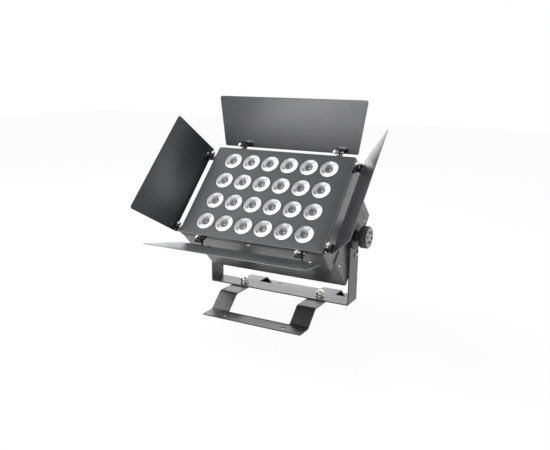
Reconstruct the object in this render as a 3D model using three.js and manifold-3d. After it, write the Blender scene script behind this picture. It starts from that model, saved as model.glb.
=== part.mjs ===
// A wash light for a stage: a panel of lenses with four barn doors, in a U-shaped yoke on a floor stand.
// Millimetres, +Z up. The light leaves towards -Y and upwards.
// The origin is the centre of the yoke bar's lower face, where a clamp would sit if the light were hung.
import * as THREE from 'three';
import { mergeVertices } from 'three/addons/utils/BufferGeometryUtils.js';
import Module from 'manifold-3d';

const wasm = await Module();
wasm.setup();

// Clearances
const seatGap = 0.3;
const runGap = 0.5;
const overrun = 2;

// Yoke
const yokeWidth = 372;
const yokeClearance = 6;
const barWidth = 51;
const barSheet = 2.8;
const bendRadius = 4;
const pivotRise = 157.6;
const slotRadius = 45;
const slotWidth = 9;
const slotFrontDeg = -4;
const slotRearDeg = 24;

// Floor stand
const standSheet = 2.5;
const standHeight = 37.8;
const strapWidth = 47;
const strapCentre = 104;
const tabHalfRun = 75.5;
const footInner = 112.5;
const footOuter = 154;
const footHalfLength = 127.5;
const footCorner = 3;
const footHoleRadius = 4.5;
const footHoleSpread = 76;
const footHoleRun = 138;

// Panel
const tiltDeg = 44.4;
const panelWidth = yokeWidth - 2 * yokeClearance;
const panelHeight = 250;
const faceSheet = 2;
const rimDepth = 12.5;
const rimSheet = 1.5;
const panelCorner = 5;
const pivotDepth = 120;
const pivotDrop = 6;

// Lenses
const lensColumns = 6;
const lensRows = 4;
const lensMarginX = 55;
const lensMarginZ = 38.3;
const lensSpacing = 5;
const lensPitchX = (panelWidth - 2 * lensMarginX) / (lensColumns - 1);
const lensPitchZ = (panelHeight - 2 * lensMarginZ) / (lensRows - 1);
const lensRadius = (Math.min(lensPitchX, lensPitchZ) - lensSpacing) / 2;
const lensTailRadius = 8;
const lensBackDepth = 22;
const lensRecess = 0.4;
const stripSheet = 3;
const stripSpacing = 5.8;
const stripHeight = lensPitchZ - stripSpacing;
const stripEndMargin = 8;
const ledSize = 5;
const ledRise = 1.5;
const boardSheet = 1.6;
const boardMargin = 8;

// Heat sink
const sinkBase = 4;
const finSheet = 2;
const finCount = 13;

// Casings
const frontCasingDepth = 78;
const casingSheet = 1.5;
const rearCasingDepth = 96;
const rearCasingWidth = panelWidth;
const rearCasingTop = 90;
const rearCasingBottom = 107;
const rearCasingWall = 2.5;
const sideRecessDepth = 1;
const sideRecessTop = 64;
const sideRecessBottom = 74;
const cableHoleWidth = 120;
const cableHoleHeight = 60;
const coverSheet = 1.5;
const rearCorner = 4;
const rearFlange = 14;

// Fan
const fanSize = 80;
const fanDepth = 25;
const fanRadius = 37;
const hubRadius = 17;
const shaftRadius = 2;
const bladeCount = 7;
const bladeSheet = 1.6;
const strutWidth = 5;
const grilleBar = 3;
const grilleSlot = 3.4;
const motorDepth = 5;
const bladeLeanDeg = 38;
const bladeChordShare = 0.85;

// Side vents in the cover
const ventCount = 8;
const ventLength = 60;
const ventPitch = 8;
const ventMarginX = 55;
const ventPlaceX = rearCasingWidth / 2 - ventMarginX;
const ventPlaceZ = 38;

// Display, buttons and control board
const windowWidth = 62;
const windowHeight = 22;
const windowSheet = 2;
const windowPlaceZ = 48;
const windowLip = 3;
const buttonCount = 4;
const buttonPitch = 18;
const buttonRadius = 4;
const buttonRise = 2;
const buttonTravel = 0.8;
const buttonPlaceZ = 20;
const buttonFlange = 1.5;
const buttonStem = 6;
const boardDepth = 15;
const boardWidth = 96;
const boardHeight = 70;
const fanShift = 1;
const fanPlaceX = (boardWidth + rearCasingWidth) / 4 + fanShift;
const switchSize = 6;
const postRadius = 3;

// Sockets in the cover
const socketPlaceZ = -66;
const socketFlange = 26;
const socketFlangeHeight = 31;
const socketFlangeSheet = 2;
const socketBarrel = 12;
const socketDepth = 22;
const socketBore = 8.5;
const socketBoreDepth = 13;
const socketPinCount = 3;
const socketPinHole = 1.6;
const socketPinCircle = 3.6;
const fuseMarginX = 42;
const socketPitch = 38;
const socketGroupGap = 54;
const fusePlaceX = rearCasingWidth / 2 - fuseMarginX;
const powerOutPlaceX = fusePlaceX - socketPitch;
const powerInPlaceX = powerOutPlaceX - socketPitch;
const dmxOutPlaceX = powerInPlaceX - socketGroupGap;
const dmxInPlaceX = dmxOutPlaceX - socketPitch;
const fuseRadius = 7;
const fuseCapRadius = 8.5;
const fuseCapRise = 8;
const fuseDepth = 28;

// Power supply
const supplyWidth = 130;
const supplyHeight = 44;
const supplyDepth = 42;
const supplyMarginX = 15;
const supplyPlaceX = (rearCasingWidth - supplyWidth) / 2 - supplyMarginX;
const supplyLid = 2;

// Pivot and clamp knobs
const studRadius = 5;
const studHead = 6.4;
const hexAcrossFlats = 16;
const washerRadius = 15;
const discRadius = 30;
const discSheet = 3.5;
const neckRadius = 13;
const neckLength = 11.5;
const gripRadius = 25.5;
const gripLength = 20;
const gripFluteCount = 16;
const gripFluteRadius = 2;
const gripEdge = 1.5;
const pocketCount = 6;
const pocketRadius = 3.6;
const pocketCircle = 15;
const pocketDepth = 6;

// Stand bolts
const boltRadius = 5;
const boltHead = 6.4;
const boltAcrossFlats = 17;
const nutRise = 10;
const nutCollar = 3;
const nutWasherRadius = 10;
const nutWasherSheet = 2;
const boltEnd = 1.5;

// Barn doors
const hingeOffset = 8.4;
const hingeForward = 0.9;
const doorSheet = 1.2;
const wideDoorTip = 116.7;
const wideDoorSetback = 4.2;
const sideDoorTip = 118;
const sideDoorSetback = 3.4;
const wideDoorInset = 4.8;
const wideDoorFlare = 18.3;
const sideDoorInset = 4.3;
const sideDoorFlare = 15.8;
const wideDoorStandoff = 16;
const sideDoorStandoff = 12;
const topDoorDeg = 43;
const bottomDoorDeg = 55.7;
const leftDoorDeg = 61.9;
const rightDoorDeg = 54.3;
const bottomDoorShift = -7.5;
const wideDomeInset = 55.3;
const sideDomeInset = 21;
const doorCorner = 8;
const doorInnerCorner = 4;
const earSheet = 1.5;
const earRadius = 4.5;
const earNeck = 1.4;
const earBaseStart = 1;
const earBaseEnd = 12;
const flangeLow = 5.4;
const flangeReach = 16;
const flangeFront = 4;
const flangeBack = 10;
const forkGap = 4;
const forkSheet = 1.5;
const hingeBoltRadius = 2.5;
const hingeHeadRadius = 4.4;
const hingeHeadRise = 4;
const hingeNutFlats = 8.6;
const hingeNutRise = 4.5;
const domeHexRise = 3;
const domeRadius = 4.3;
const domeNeck = 3;
const bracketFootInner = 3.5;
const bracketFootOuter = 9;
const bracketDepth = 9;

// Casing screw
const screwHeadRadius = 4;
const screwHeadRise = 2.4;
const screwShankRadius = 2;
const screwShankLength = 6;
const screwDepthPlace = 17;
const screwSidePlace = -2.5;
const screwCrownShare = 0.6;

// Facets on round shapes
const lensSides = 12;
const roundSides = 16;
const smallSides = 8;
const gripSides = 32;
const cornerSteps = 3;

const hexSides = 6;
const quarterTurn = Math.PI / 2;
const hexPointShare = 1 / Math.cos(Math.PI / hexSides);
const radians = (degrees) => THREE.MathUtils.degToRad(degrees);

// Places that follow from the sizes
const casingBack = frontCasingDepth;
const rearFront = casingBack + seatGap;
const rearBack = rearFront + rearCasingDepth;
const coverBack = rearBack + seatGap + coverSheet;
const coverFront = rearBack + seatGap;
const coverCentreZ = (rearCasingTop - rearCasingBottom) / 2;

// Materials
const paint = (color, roughness = 0.5) => new THREE.MeshStandardMaterial({ color, roughness, metalness: 0 });
const metal = (color, roughness = 0.25) => new THREE.MeshStandardMaterial({ color, roughness, metalness: 1 });
const blackPaint = paint(0x4a4b50);
const darkPaint = paint(0x3a3c44);
const yokePaint = paint(0x8d8d8d, 0.45);
const blackPlastic = paint(0x1c1c1e, 0.6);
const clearPlastic = paint(0xe6e8ea, 0.1);
const greenBoard = paint(0x1f5a35, 0.6);
const chrome = metal(0xd9d9d6, 0.15);
const steel = metal(0xb4b2ac, 0.3);
const aluminium = metal(0xb9bcc0, 0.4);

// A closed geometry as a solid, and back
function solidOf(geometry) {
  const bare = geometry.clone();
  bare.deleteAttribute('normal');
  bare.deleteAttribute('uv');
  const welded = mergeVertices(bare);
  return new wasm.Manifold(new wasm.Mesh({
    numProp: 3,
    vertProperties: new Float32Array(welded.attributes.position.array),
    triVerts: new Uint32Array(welded.index.array),
  }));
}

function geometryOf(solid) {
  const mesh = solid.getMesh();
  const geometry = new THREE.BufferGeometry();
  geometry.setAttribute('position', new THREE.BufferAttribute(mesh.vertProperties, 3));
  geometry.setIndex(new THREE.BufferAttribute(mesh.triVerts, 1));
  geometry.computeVertexNormals();
  return geometry;
}

const joined = (...shapes) => geometryOf(shapes.map(solidOf).reduce((all, next) => all.add(next)));
const shared = (first, second) => geometryOf(solidOf(first).intersect(solidOf(second)));
const cut = (body, ...tools) => {
  return geometryOf(tools.map(solidOf).reduce((left, tool) => left.subtract(tool), solidOf(body)));
};

// A box between two values on each axis
function block([x0, x1], [y0, y1], [z0, z1]) {
  const box = new THREE.BoxGeometry(x1 - x0, y1 - y0, z1 - z0);
  return box.translate((x0 + x1) / 2, (y0 + y1) / 2, (z0 + z1) / 2);
}

// Turns a shape that was made along +Y so that it lies along the named axis
function layAlong(axis, geometry) {
  if (axis === 'x') return geometry.rotateZ(-quarterTurn);
  if (axis === 'z') return geometry.rotateX(quarterTurn);
  return geometry;
}

// A round or many-sided bar from one value to another along an axis
function bar(axis, radius, from, to, sides = roundSides) {
  const geometry = new THREE.CylinderGeometry(radius, radius, to - from, sides);
  return layAlong(axis, geometry.translate(0, (from + to) / 2, 0));
}

// A hexagonal bar, sized across its flats
function hexBar(axis, acrossFlats, from, to) {
  return bar(axis, acrossFlats / 2 * hexPointShare, from, to, hexSides);
}

// A turned body: pairs of radius and place along the axis, from the low end to the high end
function turned(axis, profile, sides = roundSides) {
  const points = profile.map(([radius, place]) => new THREE.Vector2(radius, place));
  return layAlong(axis, new THREE.LatheGeometry(points, sides));
}

// A flat shape given thickness. Drawn in XZ it runs along Y, drawn in YZ along X, drawn in XY along Z
function slab(plane, shape, from, to, steps = cornerSteps) {
  const settings = { depth: to - from, bevelEnabled: false, curveSegments: steps };
  const flat = new THREE.ExtrudeGeometry(shape, settings);
  const x = new THREE.Vector3(1, 0, 0);
  const y = new THREE.Vector3(0, 1, 0);
  const z = new THREE.Vector3(0, 0, 1);
  if (plane === 'xz') {
    return flat.applyMatrix4(new THREE.Matrix4().makeBasis(x, z, y.clone().negate())).translate(0, to, 0);
  }
  if (plane === 'yz') {
    return flat.applyMatrix4(new THREE.Matrix4().makeBasis(y, z, x)).translate(from, 0, 0);
  }
  return flat.translate(0, 0, from);
}

// A polygon whose corners are rounded, each by its own radius
function roundedShape(corners) {
  const shape = new THREE.Shape();
  corners.forEach(([a, b, radius], i) => {
    const corner = new THREE.Vector2(a, b);
    const before = new THREE.Vector2(...corners.at(i - 1));
    const after = new THREE.Vector2(...corners[(i + 1) % corners.length]);
    const start = corner.clone().add(before.sub(corner).setLength(radius));
    const end = corner.clone().add(after.sub(corner).setLength(radius));
    if (i === 0) shape.moveTo(start.x, start.y);
    else shape.lineTo(start.x, start.y);
    shape.quadraticCurveTo(corner.x, corner.y, end.x, end.y);
  });
  shape.closePath();
  return shape;
}

function roundedRectangle([a0, a1], [b0, b1], radius) {
  return roundedShape([[a0, b0, radius], [a1, b0, radius], [a1, b1, radius], [a0, b1, radius]]);
}

// A strip of sheet bent along a path: the path is one face, the other lies the sheet's thickness to its left
function bentStrip(path, sheet) {
  const points = path.map(([a, b]) => new THREE.Vector2(a, b));
  const left = (from, to) => to.clone().sub(from).normalize().rotateAround(new THREE.Vector2(), quarterTurn);
  const offset = points.map((point, i) => {
    const first = left(points[Math.max(i - 1, 0)], points[Math.max(i, 1)]);
    const last = left(points[Math.min(i, points.length - 2)], points[Math.min(i + 1, points.length - 1)]);
    const mitre = first.clone().add(last).normalize();
    return point.clone().addScaledVector(mitre, sheet / mitre.dot(first));
  });
  return new THREE.Shape([...points, ...offset.reverse()]);
}

function piece(name, geometry, material) {
  const mesh = new THREE.Mesh(geometry, material.clone());
  mesh.name = name;
  return mesh;
}

// The stand: two feet joined by two straps that rise to flat tabs under the yoke bar
function floorStand() {
  const strap = bentStrip([
    [footOuter, 0], [footInner, 0], [tabHalfRun, standHeight - standSheet],
    [-tabHalfRun, standHeight - standSheet], [-footInner, 0], [-footOuter, 0],
  ].reverse(), standSheet);
  const straps = [-1, 1].map((side) => {
    const centre = side * strapCentre;
    return slab('yz', strap, centre - strapWidth / 2, centre + strapWidth / 2);
  });
  const feet = [-1, 1].map((side) => {
    const run = [side * footInner, side * footOuter].sort((a, b) => a - b);
    const outline = roundedRectangle([-footHalfLength, footHalfLength], run, footCorner);
    return slab('xy', outline, 0, standSheet);
  });
  const holes = [-1, 1].flatMap((side) => [-1, 1].map((end) => {
    const hole = bar('z', footHoleRadius, -overrun, standSheet + overrun, smallSides);
    return hole.translate(side * footHoleSpread, end * footHoleRun, 0);
  }));
  const boltHoles = [-1, 1].map((side) => {
    const hole = bar('z', boltRadius + seatGap, standHeight - standSheet - overrun, standHeight + overrun);
    return hole.translate(side * strapCentre, 0, 0);
  });
  return piece('floor_stand', cut(joined(...straps, ...feet), ...holes, ...boltHoles), yokePaint);
}

// The yoke: one flat bar bent into a U, with round ends about the pivot and a curved slot below it
function yoke() {
  const half = yokeWidth / 2;
  const pivotZ = barSheet + pivotRise;
  const topZ = pivotZ + barWidth / 2;
  const outer = roundedRectangle([-half, half], [0, topZ + half], bendRadius);
  const inner = roundedRectangle(
    [-half + barSheet, half - barSheet], [barSheet, topZ + half + overrun], bendRadius / 2);
  const channel = cut(
    slab('xz', outer, -barWidth / 2, barWidth / 2),
    slab('xz', inner, -barWidth / 2 - overrun, barWidth / 2 + overrun),
  );
  const side = new THREE.Shape();
  side.moveTo(-barWidth / 2, 0);
  side.lineTo(barWidth / 2, 0);
  side.absarc(0, pivotZ, barWidth / 2, 0, Math.PI, false);
  const silhouette = slab('yz', side, -half - overrun, half + overrun, roundSides / 2);
  const reach = [-half - overrun, half + overrun];
  const pivotHole = bar('x', studRadius + seatGap, ...reach).translate(0, 0, pivotZ);
  const slot = slab('yz', arcSlot(), ...reach).translate(0, 0, pivotZ);
  const boltHoles = [-1, 1].map((end) => {
    return bar('z', boltRadius + seatGap, -overrun, barSheet + overrun).translate(end * strapCentre, 0, 0);
  });
  return piece('yoke', cut(shared(channel, silhouette), pivotHole, slot, ...boltHoles), yokePaint);
}

// The curved slot in the yoke's arms, about the pivot
function arcSlot() {
  const start = radians(slotFrontDeg) - quarterTurn;
  const end = radians(slotRearDeg) - quarterTurn;
  const endCap = (angle) => [slotRadius * Math.cos(angle), slotRadius * Math.sin(angle)];
  const shape = new THREE.Shape();
  shape.absarc(0, 0, slotRadius + slotWidth / 2, start, end, false);
  shape.absarc(...endCap(end), slotWidth / 2, end, end + Math.PI, false);
  shape.absarc(0, 0, slotRadius - slotWidth / 2, end, start, true);
  shape.absarc(...endCap(start), slotWidth / 2, start + Math.PI, start + Math.PI * 2, false);
  return shape;
}

// A bolt up through the tab and the bar, with its head below
function standBolt(name) {
  const headTop = -seatGap - standSheet - seatGap;
  const end = barSheet + seatGap + nutWasherSheet + nutRise + boltEnd;
  const head = hexBar('z', boltAcrossFlats, headTop - boltHead, headTop);
  return piece(name, joined(head, bar('z', boltRadius, headTop - boltHead / 2, end)), chrome);
}

// A lock nut with its washer, on top of the bar
function standNut(name) {
  const washerTop = barSheet + seatGap + nutWasherSheet;
  const collarFrom = washerTop + nutRise - nutCollar;
  const washer = bar('z', nutWasherRadius, barSheet + seatGap, washerTop);
  const nut = hexBar('z', boltAcrossFlats, washerTop - nutWasherSheet / 2, collarFrom);
  const collar = bar('z', boltAcrossFlats / 2, collarFrom - nutCollar / 2, washerTop + nutRise);
  const bore = bar('z', boltRadius + seatGap, 0, washerTop + nutRise + overrun);
  return piece(name, cut(joined(washer, nut, collar), bore), chrome);
}

// Where the lenses stand on the panel
const columnX = (column) => (column - (lensColumns - 1) / 2) * lensPitchX;
const rowZ = (row) => ((lensRows - 1) / 2 - row) * lensPitchZ;
const rows = [...Array(lensRows).keys()];
const columns = [...Array(lensColumns).keys()];

// The front plate: a shallow tray with a hole for each lens
function frontPlate() {
  const halfX = panelWidth / 2;
  const halfZ = panelHeight / 2;
  const outer = roundedRectangle([-halfX, halfX], [-halfZ, halfZ], panelCorner);
  const inner = roundedRectangle(
    [-halfX + rimSheet, halfX - rimSheet], [-halfZ + rimSheet, halfZ - rimSheet], panelCorner - rimSheet);
  const holes = rows.flatMap((row) => columns.map((column) => {
    const hole = bar('y', lensRadius + seatGap, -overrun, faceSheet + overrun, lensSides);
    return hole.translate(columnX(column), 0, rowZ(row));
  }));
  const tray = cut(slab('xz', outer, 0, rimDepth), slab('xz', inner, faceSheet, rimDepth + overrun));
  return piece('front_plate', cut(tray, ...holes), darkPaint);
}

// A moulded row of six lenses: each narrows towards the light source behind it
function lensRow(row) {
  const back = faceSheet + seatGap + stripSheet;
  const half = columnX(lensColumns - 1) + lensRadius + stripEndMargin;
  const strip = block([-half, half], [faceSheet + seatGap, back], [-stripHeight / 2, stripHeight / 2]);
  const lenses = columns.map((column) => turned('y', [
    [0, lensRecess], [lensRadius, lensRecess], [lensRadius, back],
    [lensTailRadius, lensBackDepth], [0, lensBackDepth],
  ], lensSides).translate(columnX(column), 0, 0));
  const mesh = piece(`lens_row_${row + 1}`, joined(strip, ...lenses), clearPlastic);
  mesh.position.z = rowZ(row);
  return mesh;
}

// The board that carries the light sources
const boardFront = lensBackDepth + seatGap + ledRise;
const boardBack = boardFront + boardSheet;
function ledBoard() {
  const halfX = panelWidth / 2 - boardMargin;
  const halfZ = panelHeight / 2 - boardMargin;
  const board = block([-halfX, halfX], [boardFront, boardBack], [-halfZ, halfZ]);
  const chips = rows.flatMap((row) => columns.map((column) => {
    const span = [-ledSize / 2, ledSize / 2];
    return block(span, [boardFront - ledRise, boardBack], span).translate(columnX(column), 0, rowZ(row));
  }));
  return piece('led_board', joined(board, ...chips), greenBoard);
}

// The heat sink behind the board: a base with upright fins that reach the casing's back wall
function heatSink() {
  const front = boardBack + seatGap;
  const back = casingBack - casingSheet - seatGap;
  const halfX = panelWidth / 2 - boardMargin;
  const halfZ = panelHeight / 2 - boardMargin;
  const base = block([-halfX, halfX], [front, front + sinkBase], [-halfZ, halfZ]);
  const span = 2 * halfX - finSheet;
  const fins = [...Array(finCount).keys()].map((i) => {
    const x = -span / 2 + i * span / (finCount - 1);
    return block([x - finSheet / 2, x + finSheet / 2], [front + sinkBase / 2, back], [-halfZ, halfZ]);
  });
  return piece('heat_sink', joined(base, ...fins), aluminium);
}

// The front casing: a tray that slides into the front plate's rim, with a cable hole in its back wall
function frontCasing() {
  const front = faceSheet + seatGap;
  const outX = panelWidth / 2 - rimSheet - seatGap;
  const outZ = panelHeight / 2 - rimSheet - seatGap;
  const inX = outX - casingSheet;
  const inZ = outZ - casingSheet;
  const outer = roundedRectangle([-outX, outX], [-outZ, outZ], panelCorner - rimSheet);
  const inner = roundedRectangle([-inX, inX], [-inZ, inZ], panelCorner - rimSheet - casingSheet);
  const cableHole = block(
    [-cableHoleWidth / 2, cableHoleWidth / 2], [front, casingBack + overrun],
    [-cableHoleHeight / 2, cableHoleHeight / 2]);
  const tray = cut(
    slab('xz', outer, front, casingBack),
    slab('xz', inner, front - overrun, casingBack - casingSheet),
  );
  const screwHole = bar('z', screwShankRadius + seatGap, -outZ - overrun, -inZ + overrun, smallSides);
  screwHole.translate(screwSidePlace, screwDepthPlace, 0);
  return piece('front_casing', cut(tray, cableHole, screwHole), blackPaint);
}

// A pan-head screw in the front casing's underside
function casingScrew() {
  const wall = -(panelHeight / 2 - rimSheet - seatGap);
  const seat = wall - seatGap;
  const head = turned('z', [
    [0, seat - screwHeadRise], [screwHeadRadius * screwCrownShare, seat - screwHeadRise],
    [screwHeadRadius, seat - screwHeadRise / 2], [screwHeadRadius, seat], [0, seat],
  ], smallSides);
  const shank = bar('z', screwShankRadius, seat - screwHeadRise / 2, wall + screwShankLength, smallSides);
  return piece('casing_screw', joined(head, shank).translate(screwSidePlace, screwDepthPlace, 0), steel);
}

// The rear casing: a deep tray, open to the rear, with a sunk band along each side and a wide hole in front
const rearHalf = rearCasingWidth / 2;
function rearCasing() {
  const outer = roundedRectangle([-rearHalf, rearHalf], [-rearCasingBottom, rearCasingTop], rearCorner);
  const inner = roundedRectangle(
    [-rearHalf + rearCasingWall, rearHalf - rearCasingWall],
    [-rearCasingBottom + rearCasingWall, rearCasingTop - rearCasingWall], rearCorner - rearCasingWall);
  const tray = cut(
    slab('xz', outer, rearFront, rearBack),
    slab('xz', inner, rearFront + casingSheet, rearBack + overrun),
  );
  const frontHole = block(
    [-rearHalf + rearFlange, rearHalf - rearFlange], [rearFront - overrun, rearBack],
    [-rearCasingBottom + rearFlange, rearCasingTop - rearFlange]);
  const bands = [-1, 1].map((side) => {
    const reach = [side * (rearHalf - sideRecessDepth), side * (rearHalf + overrun)].sort((a, b) => a - b);
    return block(reach, [rearFront - overrun, rearBack + overrun], [-sideRecessBottom, sideRecessTop]);
  });
  const studHole = bar('x', studRadius + seatGap, -rearHalf - overrun, rearHalf + overrun);
  studHole.translate(0, pivotDepth, -pivotDrop);
  return piece('rear_casing', cut(tray, frontHole, ...bands, studHole), blackPaint);
}

// The rear cover: a plate with a fan grille, vents, and holes for the display, buttons, sockets and fuse
function rearCover() {
  const outline = roundedRectangle([-rearHalf, rearHalf], [-rearCasingBottom, rearCasingTop], rearCorner);
  const plate = slab('xz', outline, coverFront, coverBack);
  const reach = [coverFront - overrun, coverBack + overrun];
  const windowHole = block(
    [-windowWidth / 2, windowWidth / 2], reach,
    [windowPlaceZ - windowHeight / 2, windowPlaceZ + windowHeight / 2]);
  const round = (x, z, radius) => bar('y', radius + seatGap, ...reach).translate(x, 0, z);
  const buttonHoles = buttonPlaces.map((x) => round(x, buttonPlaceZ, buttonRadius));
  const socketHoles = socketPlaces.map((x) => round(x, socketPlaceZ, socketBarrel));
  const fuseHole = round(fusePlaceX, socketPlaceZ, fuseRadius);
  const slots = [...grilleSlots(reach), ...ventSlots(reach)];
  const holes = [windowHole, ...buttonHoles, ...socketHoles, fuseHole];
  return piece('rear_cover', cut(plate, ...slots, ...holes), blackPaint);
}

// Level slots whose ends follow the fan's circle
function grilleSlots(reach) {
  const pitch = grilleBar + grilleSlot;
  const half = Math.floor(fanRadius / pitch);
  return [...Array(2 * half + 1).keys()].map((i) => {
    const z = (i - half) * pitch;
    const halfLength = Math.sqrt(fanRadius ** 2 - z ** 2);
    const slot = block([-halfLength, halfLength], reach, [z - grilleSlot / 2, z + grilleSlot / 2]);
    return slot.translate(-fanPlaceX, 0, coverCentreZ);
  });
}

function ventSlots(reach) {
  return [...Array(ventCount).keys()].map((i) => {
    const z = ventPlaceZ + (i - (ventCount - 1) / 2) * ventPitch;
    const slot = block([-ventLength / 2, ventLength / 2], reach, [z - grilleSlot / 2, z + grilleSlot / 2]);
    return slot.translate(ventPlaceX, 0, 0);
  });
}

// The fan's frame, inside the cover: a square block with a round tunnel, and a motor seat on four struts
const fanBack = coverFront - seatGap;
const fanFront = fanBack - fanDepth;
function fanFrame() {
  const half = fanSize / 2;
  const box = block([-half, half], [fanFront, fanBack], [-half, half]);
  const tunnel = bar('y', fanRadius + runGap + seatGap, fanFront - overrun, fanBack + overrun);
  const seat = bar('y', hubRadius, fanFront, fanFront + motorDepth);
  const struts = [
    block([-half, half], [fanFront, fanFront + motorDepth / 2], [-strutWidth / 2, strutWidth / 2]),
    block([-strutWidth / 2, strutWidth / 2], [fanFront, fanFront + motorDepth / 2], [-half, half]),
  ];
  const motorBack = fanFront + motorDepth;
  const bearing = bar('y', shaftRadius + seatGap, fanFront - overrun, motorBack + overrun, smallSides);
  const frame = cut(joined(cut(box, tunnel), seat, ...struts), bearing);
  return piece('fan_frame', frame.translate(-fanPlaceX, 0, coverCentreZ), blackPlastic);
}

// The fan's rotor: a hub with leaning blades, on a shaft that runs in the motor seat
function fanRotor() {
  const front = fanFront + motorDepth + runGap;
  const back = fanBack - motorDepth / 2;
  const middle = (front + back) / 2;
  const hub = bar('y', hubRadius, front, back);
  const shaft = bar('y', shaftRadius, fanFront + runGap, front + motorDepth, smallSides);
  const chord = (back - front) * bladeChordShare;
  const blades = [...Array(bladeCount).keys()].map((i) => {
    const reach = [hubRadius - bladeSheet, fanRadius - bladeSheet];
    const blade = block([-bladeSheet / 2, bladeSheet / 2], [-chord / 2, chord / 2], reach);
    return blade.rotateZ(radians(bladeLeanDeg)).rotateY(i * 2 * Math.PI / bladeCount).translate(0, middle, 0);
  });
  const rotor = joined(hub, shaft, ...blades);
  return piece('fan_rotor', rotor.translate(-fanPlaceX, 0, coverCentreZ), blackPlastic);
}

// The display window: it fills its hole in the cover, with a lip behind
const lipBack = coverFront - seatGap;
function displayWindow() {
  const halfX = windowWidth / 2;
  const halfZ = windowHeight / 2;
  const pane = block(
    [-halfX + seatGap, halfX - seatGap], [lipBack - windowSheet / 2, coverBack],
    [windowPlaceZ - halfZ + seatGap, windowPlaceZ + halfZ - seatGap]);
  const lip = block(
    [-halfX - windowLip, halfX + windowLip], [lipBack - windowSheet, lipBack],
    [windowPlaceZ - halfZ - windowLip, windowPlaceZ + halfZ + windowLip]);
  return piece('display_window', joined(pane, lip), blackPlastic);
}

// The push buttons: each has a cap outside the cover, a flange behind it, and a stem towards its switch
const buttonPlaces = [...Array(buttonCount).keys()].map((i) => (i - (buttonCount - 1) / 2) * buttonPitch);
const stemEnd = lipBack - buttonFlange - buttonStem;
function pushButton(index) {
  const cap = bar('y', buttonRadius, lipBack - buttonFlange / 2, coverBack + buttonRise, smallSides);
  const flange = bar('y', buttonRadius + buttonFlange, lipBack - buttonFlange, lipBack, smallSides);
  const stem = bar('y', buttonRadius / 2, stemEnd, lipBack - buttonFlange / 2, smallSides);
  const button = joined(cap, flange, stem).translate(buttonPlaces[index], 0, buttonPlaceZ);
  return piece(`button_${index + 1}`, button, blackPlastic);
}

// The control board: it stands on posts behind the cover and carries the display and the switches
function controlBoard() {
  const back = coverFront - boardDepth;
  const centreZ = (windowPlaceZ + buttonPlaceZ) / 2;
  const board = block(
    [-boardWidth / 2, boardWidth / 2], [back - boardSheet, back],
    [centreZ - boardHeight / 2, centreZ + boardHeight / 2]);
  const posts = [-1, 1].flatMap((side) => [-1, 1].map((end) => {
    const post = bar('y', postRadius, back - boardSheet, lipBack, smallSides);
    return post.translate(
      side * (boardWidth / 2 - postRadius), 0, centreZ + end * (boardHeight / 2 - postRadius));
  }));
  const display = block(
    [-windowWidth / 2, windowWidth / 2], [back - boardSheet / 2, lipBack - windowSheet - seatGap],
    [windowPlaceZ - windowHeight / 2, windowPlaceZ + windowHeight / 2]);
  const switches = buttonPlaces.map((x) => block(
    [x - switchSize / 2, x + switchSize / 2], [back - boardSheet / 2, stemEnd - buttonTravel - seatGap],
    [buttonPlaceZ - switchSize / 2, buttonPlaceZ + switchSize / 2]));
  return piece('control_board', joined(board, ...posts, display, ...switches), greenBoard);
}

// A round socket with a square flange, and with either one wide bore or three holes for pins
const socketPlaces = [dmxInPlaceX, dmxOutPlaceX, powerInPlaceX, powerOutPlaceX];
function socket(name, placeX, threeHoles) {
  const face = coverBack + seatGap + socketFlangeSheet;
  const flange = slab('xz', roundedRectangle(
    [-socketFlange / 2, socketFlange / 2], [-socketFlangeHeight / 2, socketFlangeHeight / 2], rearCorner),
  coverBack + seatGap, face);
  const barrel = bar('y', socketBarrel, coverBack - socketDepth, face - socketFlangeSheet / 2);
  const wideBore = bar('y', socketBore, face - socketBoreDepth, face + overrun);
  const narrowBores = [...Array(socketPinCount).keys()].map((i) => {
    const hole = bar('y', socketPinHole, face - socketBoreDepth, face + overrun, smallSides);
    return hole.translate(0, 0, -socketPinCircle).rotateY(i * quarterTurn - quarterTurn);
  });
  const bores = threeHoles ? narrowBores : [wideBore];
  return piece(name, cut(joined(flange, barrel), ...bores).translate(placeX, 0, socketPlaceZ), blackPlastic);
}

function fuseHolder() {
  const seat = coverBack + seatGap;
  const body = bar('y', fuseRadius, coverBack - fuseDepth, seat + fuseCapRise / 2);
  const cap = bar('y', fuseCapRadius, seat, seat + fuseCapRise);
  return piece('fuse_holder', joined(body, cap).translate(fusePlaceX, 0, socketPlaceZ), blackPlastic);
}

// The power supply: a box on the rear casing's floor
function powerSupply() {
  const floor = -rearCasingBottom + rearCasingWall + seatGap;
  const front = rearFront + casingSheet + seatGap;
  const half = supplyWidth / 2;
  const base = block([-half, half], [front, front + supplyDepth], [floor, floor + supplyHeight]);
  const lid = block(
    [-half + supplyLid, half - supplyLid], [front + supplyLid, front + supplyDepth - supplyLid],
    [floor + supplyHeight / 2, floor + supplyHeight + supplyLid]);
  return piece('power_supply', joined(base, lid).translate(supplyPlaceX, 0, 0), aluminium);
}

// The pivot, made for the right-hand side and turned about for the left
const innerWall = rearHalf - sideRecessDepth;
const armInside = yokeWidth / 2 - barSheet;
const armOutside = yokeWidth / 2;
const discOuter = armOutside + seatGap + discSheet;
const knobInner = discOuter + seatGap;
const gripInner = knobInner + neckLength;
const gripOuter = gripInner + gripLength;
const studEnd = gripOuter - pocketDepth - seatGap;

// A bolt whose head is inside the rear casing, and whose end is inside the knob
function pivotStud() {
  const seat = rearHalf - rearCasingWall - seatGap;
  const head = hexBar('x', hexAcrossFlats, seat - studHead, seat);
  return joined(head, bar('x', studRadius, seat - studHead / 2, studEnd));
}

// The flat washer between casing and arm, and the large friction disc outside the arm
function ring(radius, from, to) {
  return cut(bar('x', radius, from, to), bar('x', studRadius + seatGap, from - overrun, to + overrun));
}

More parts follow.
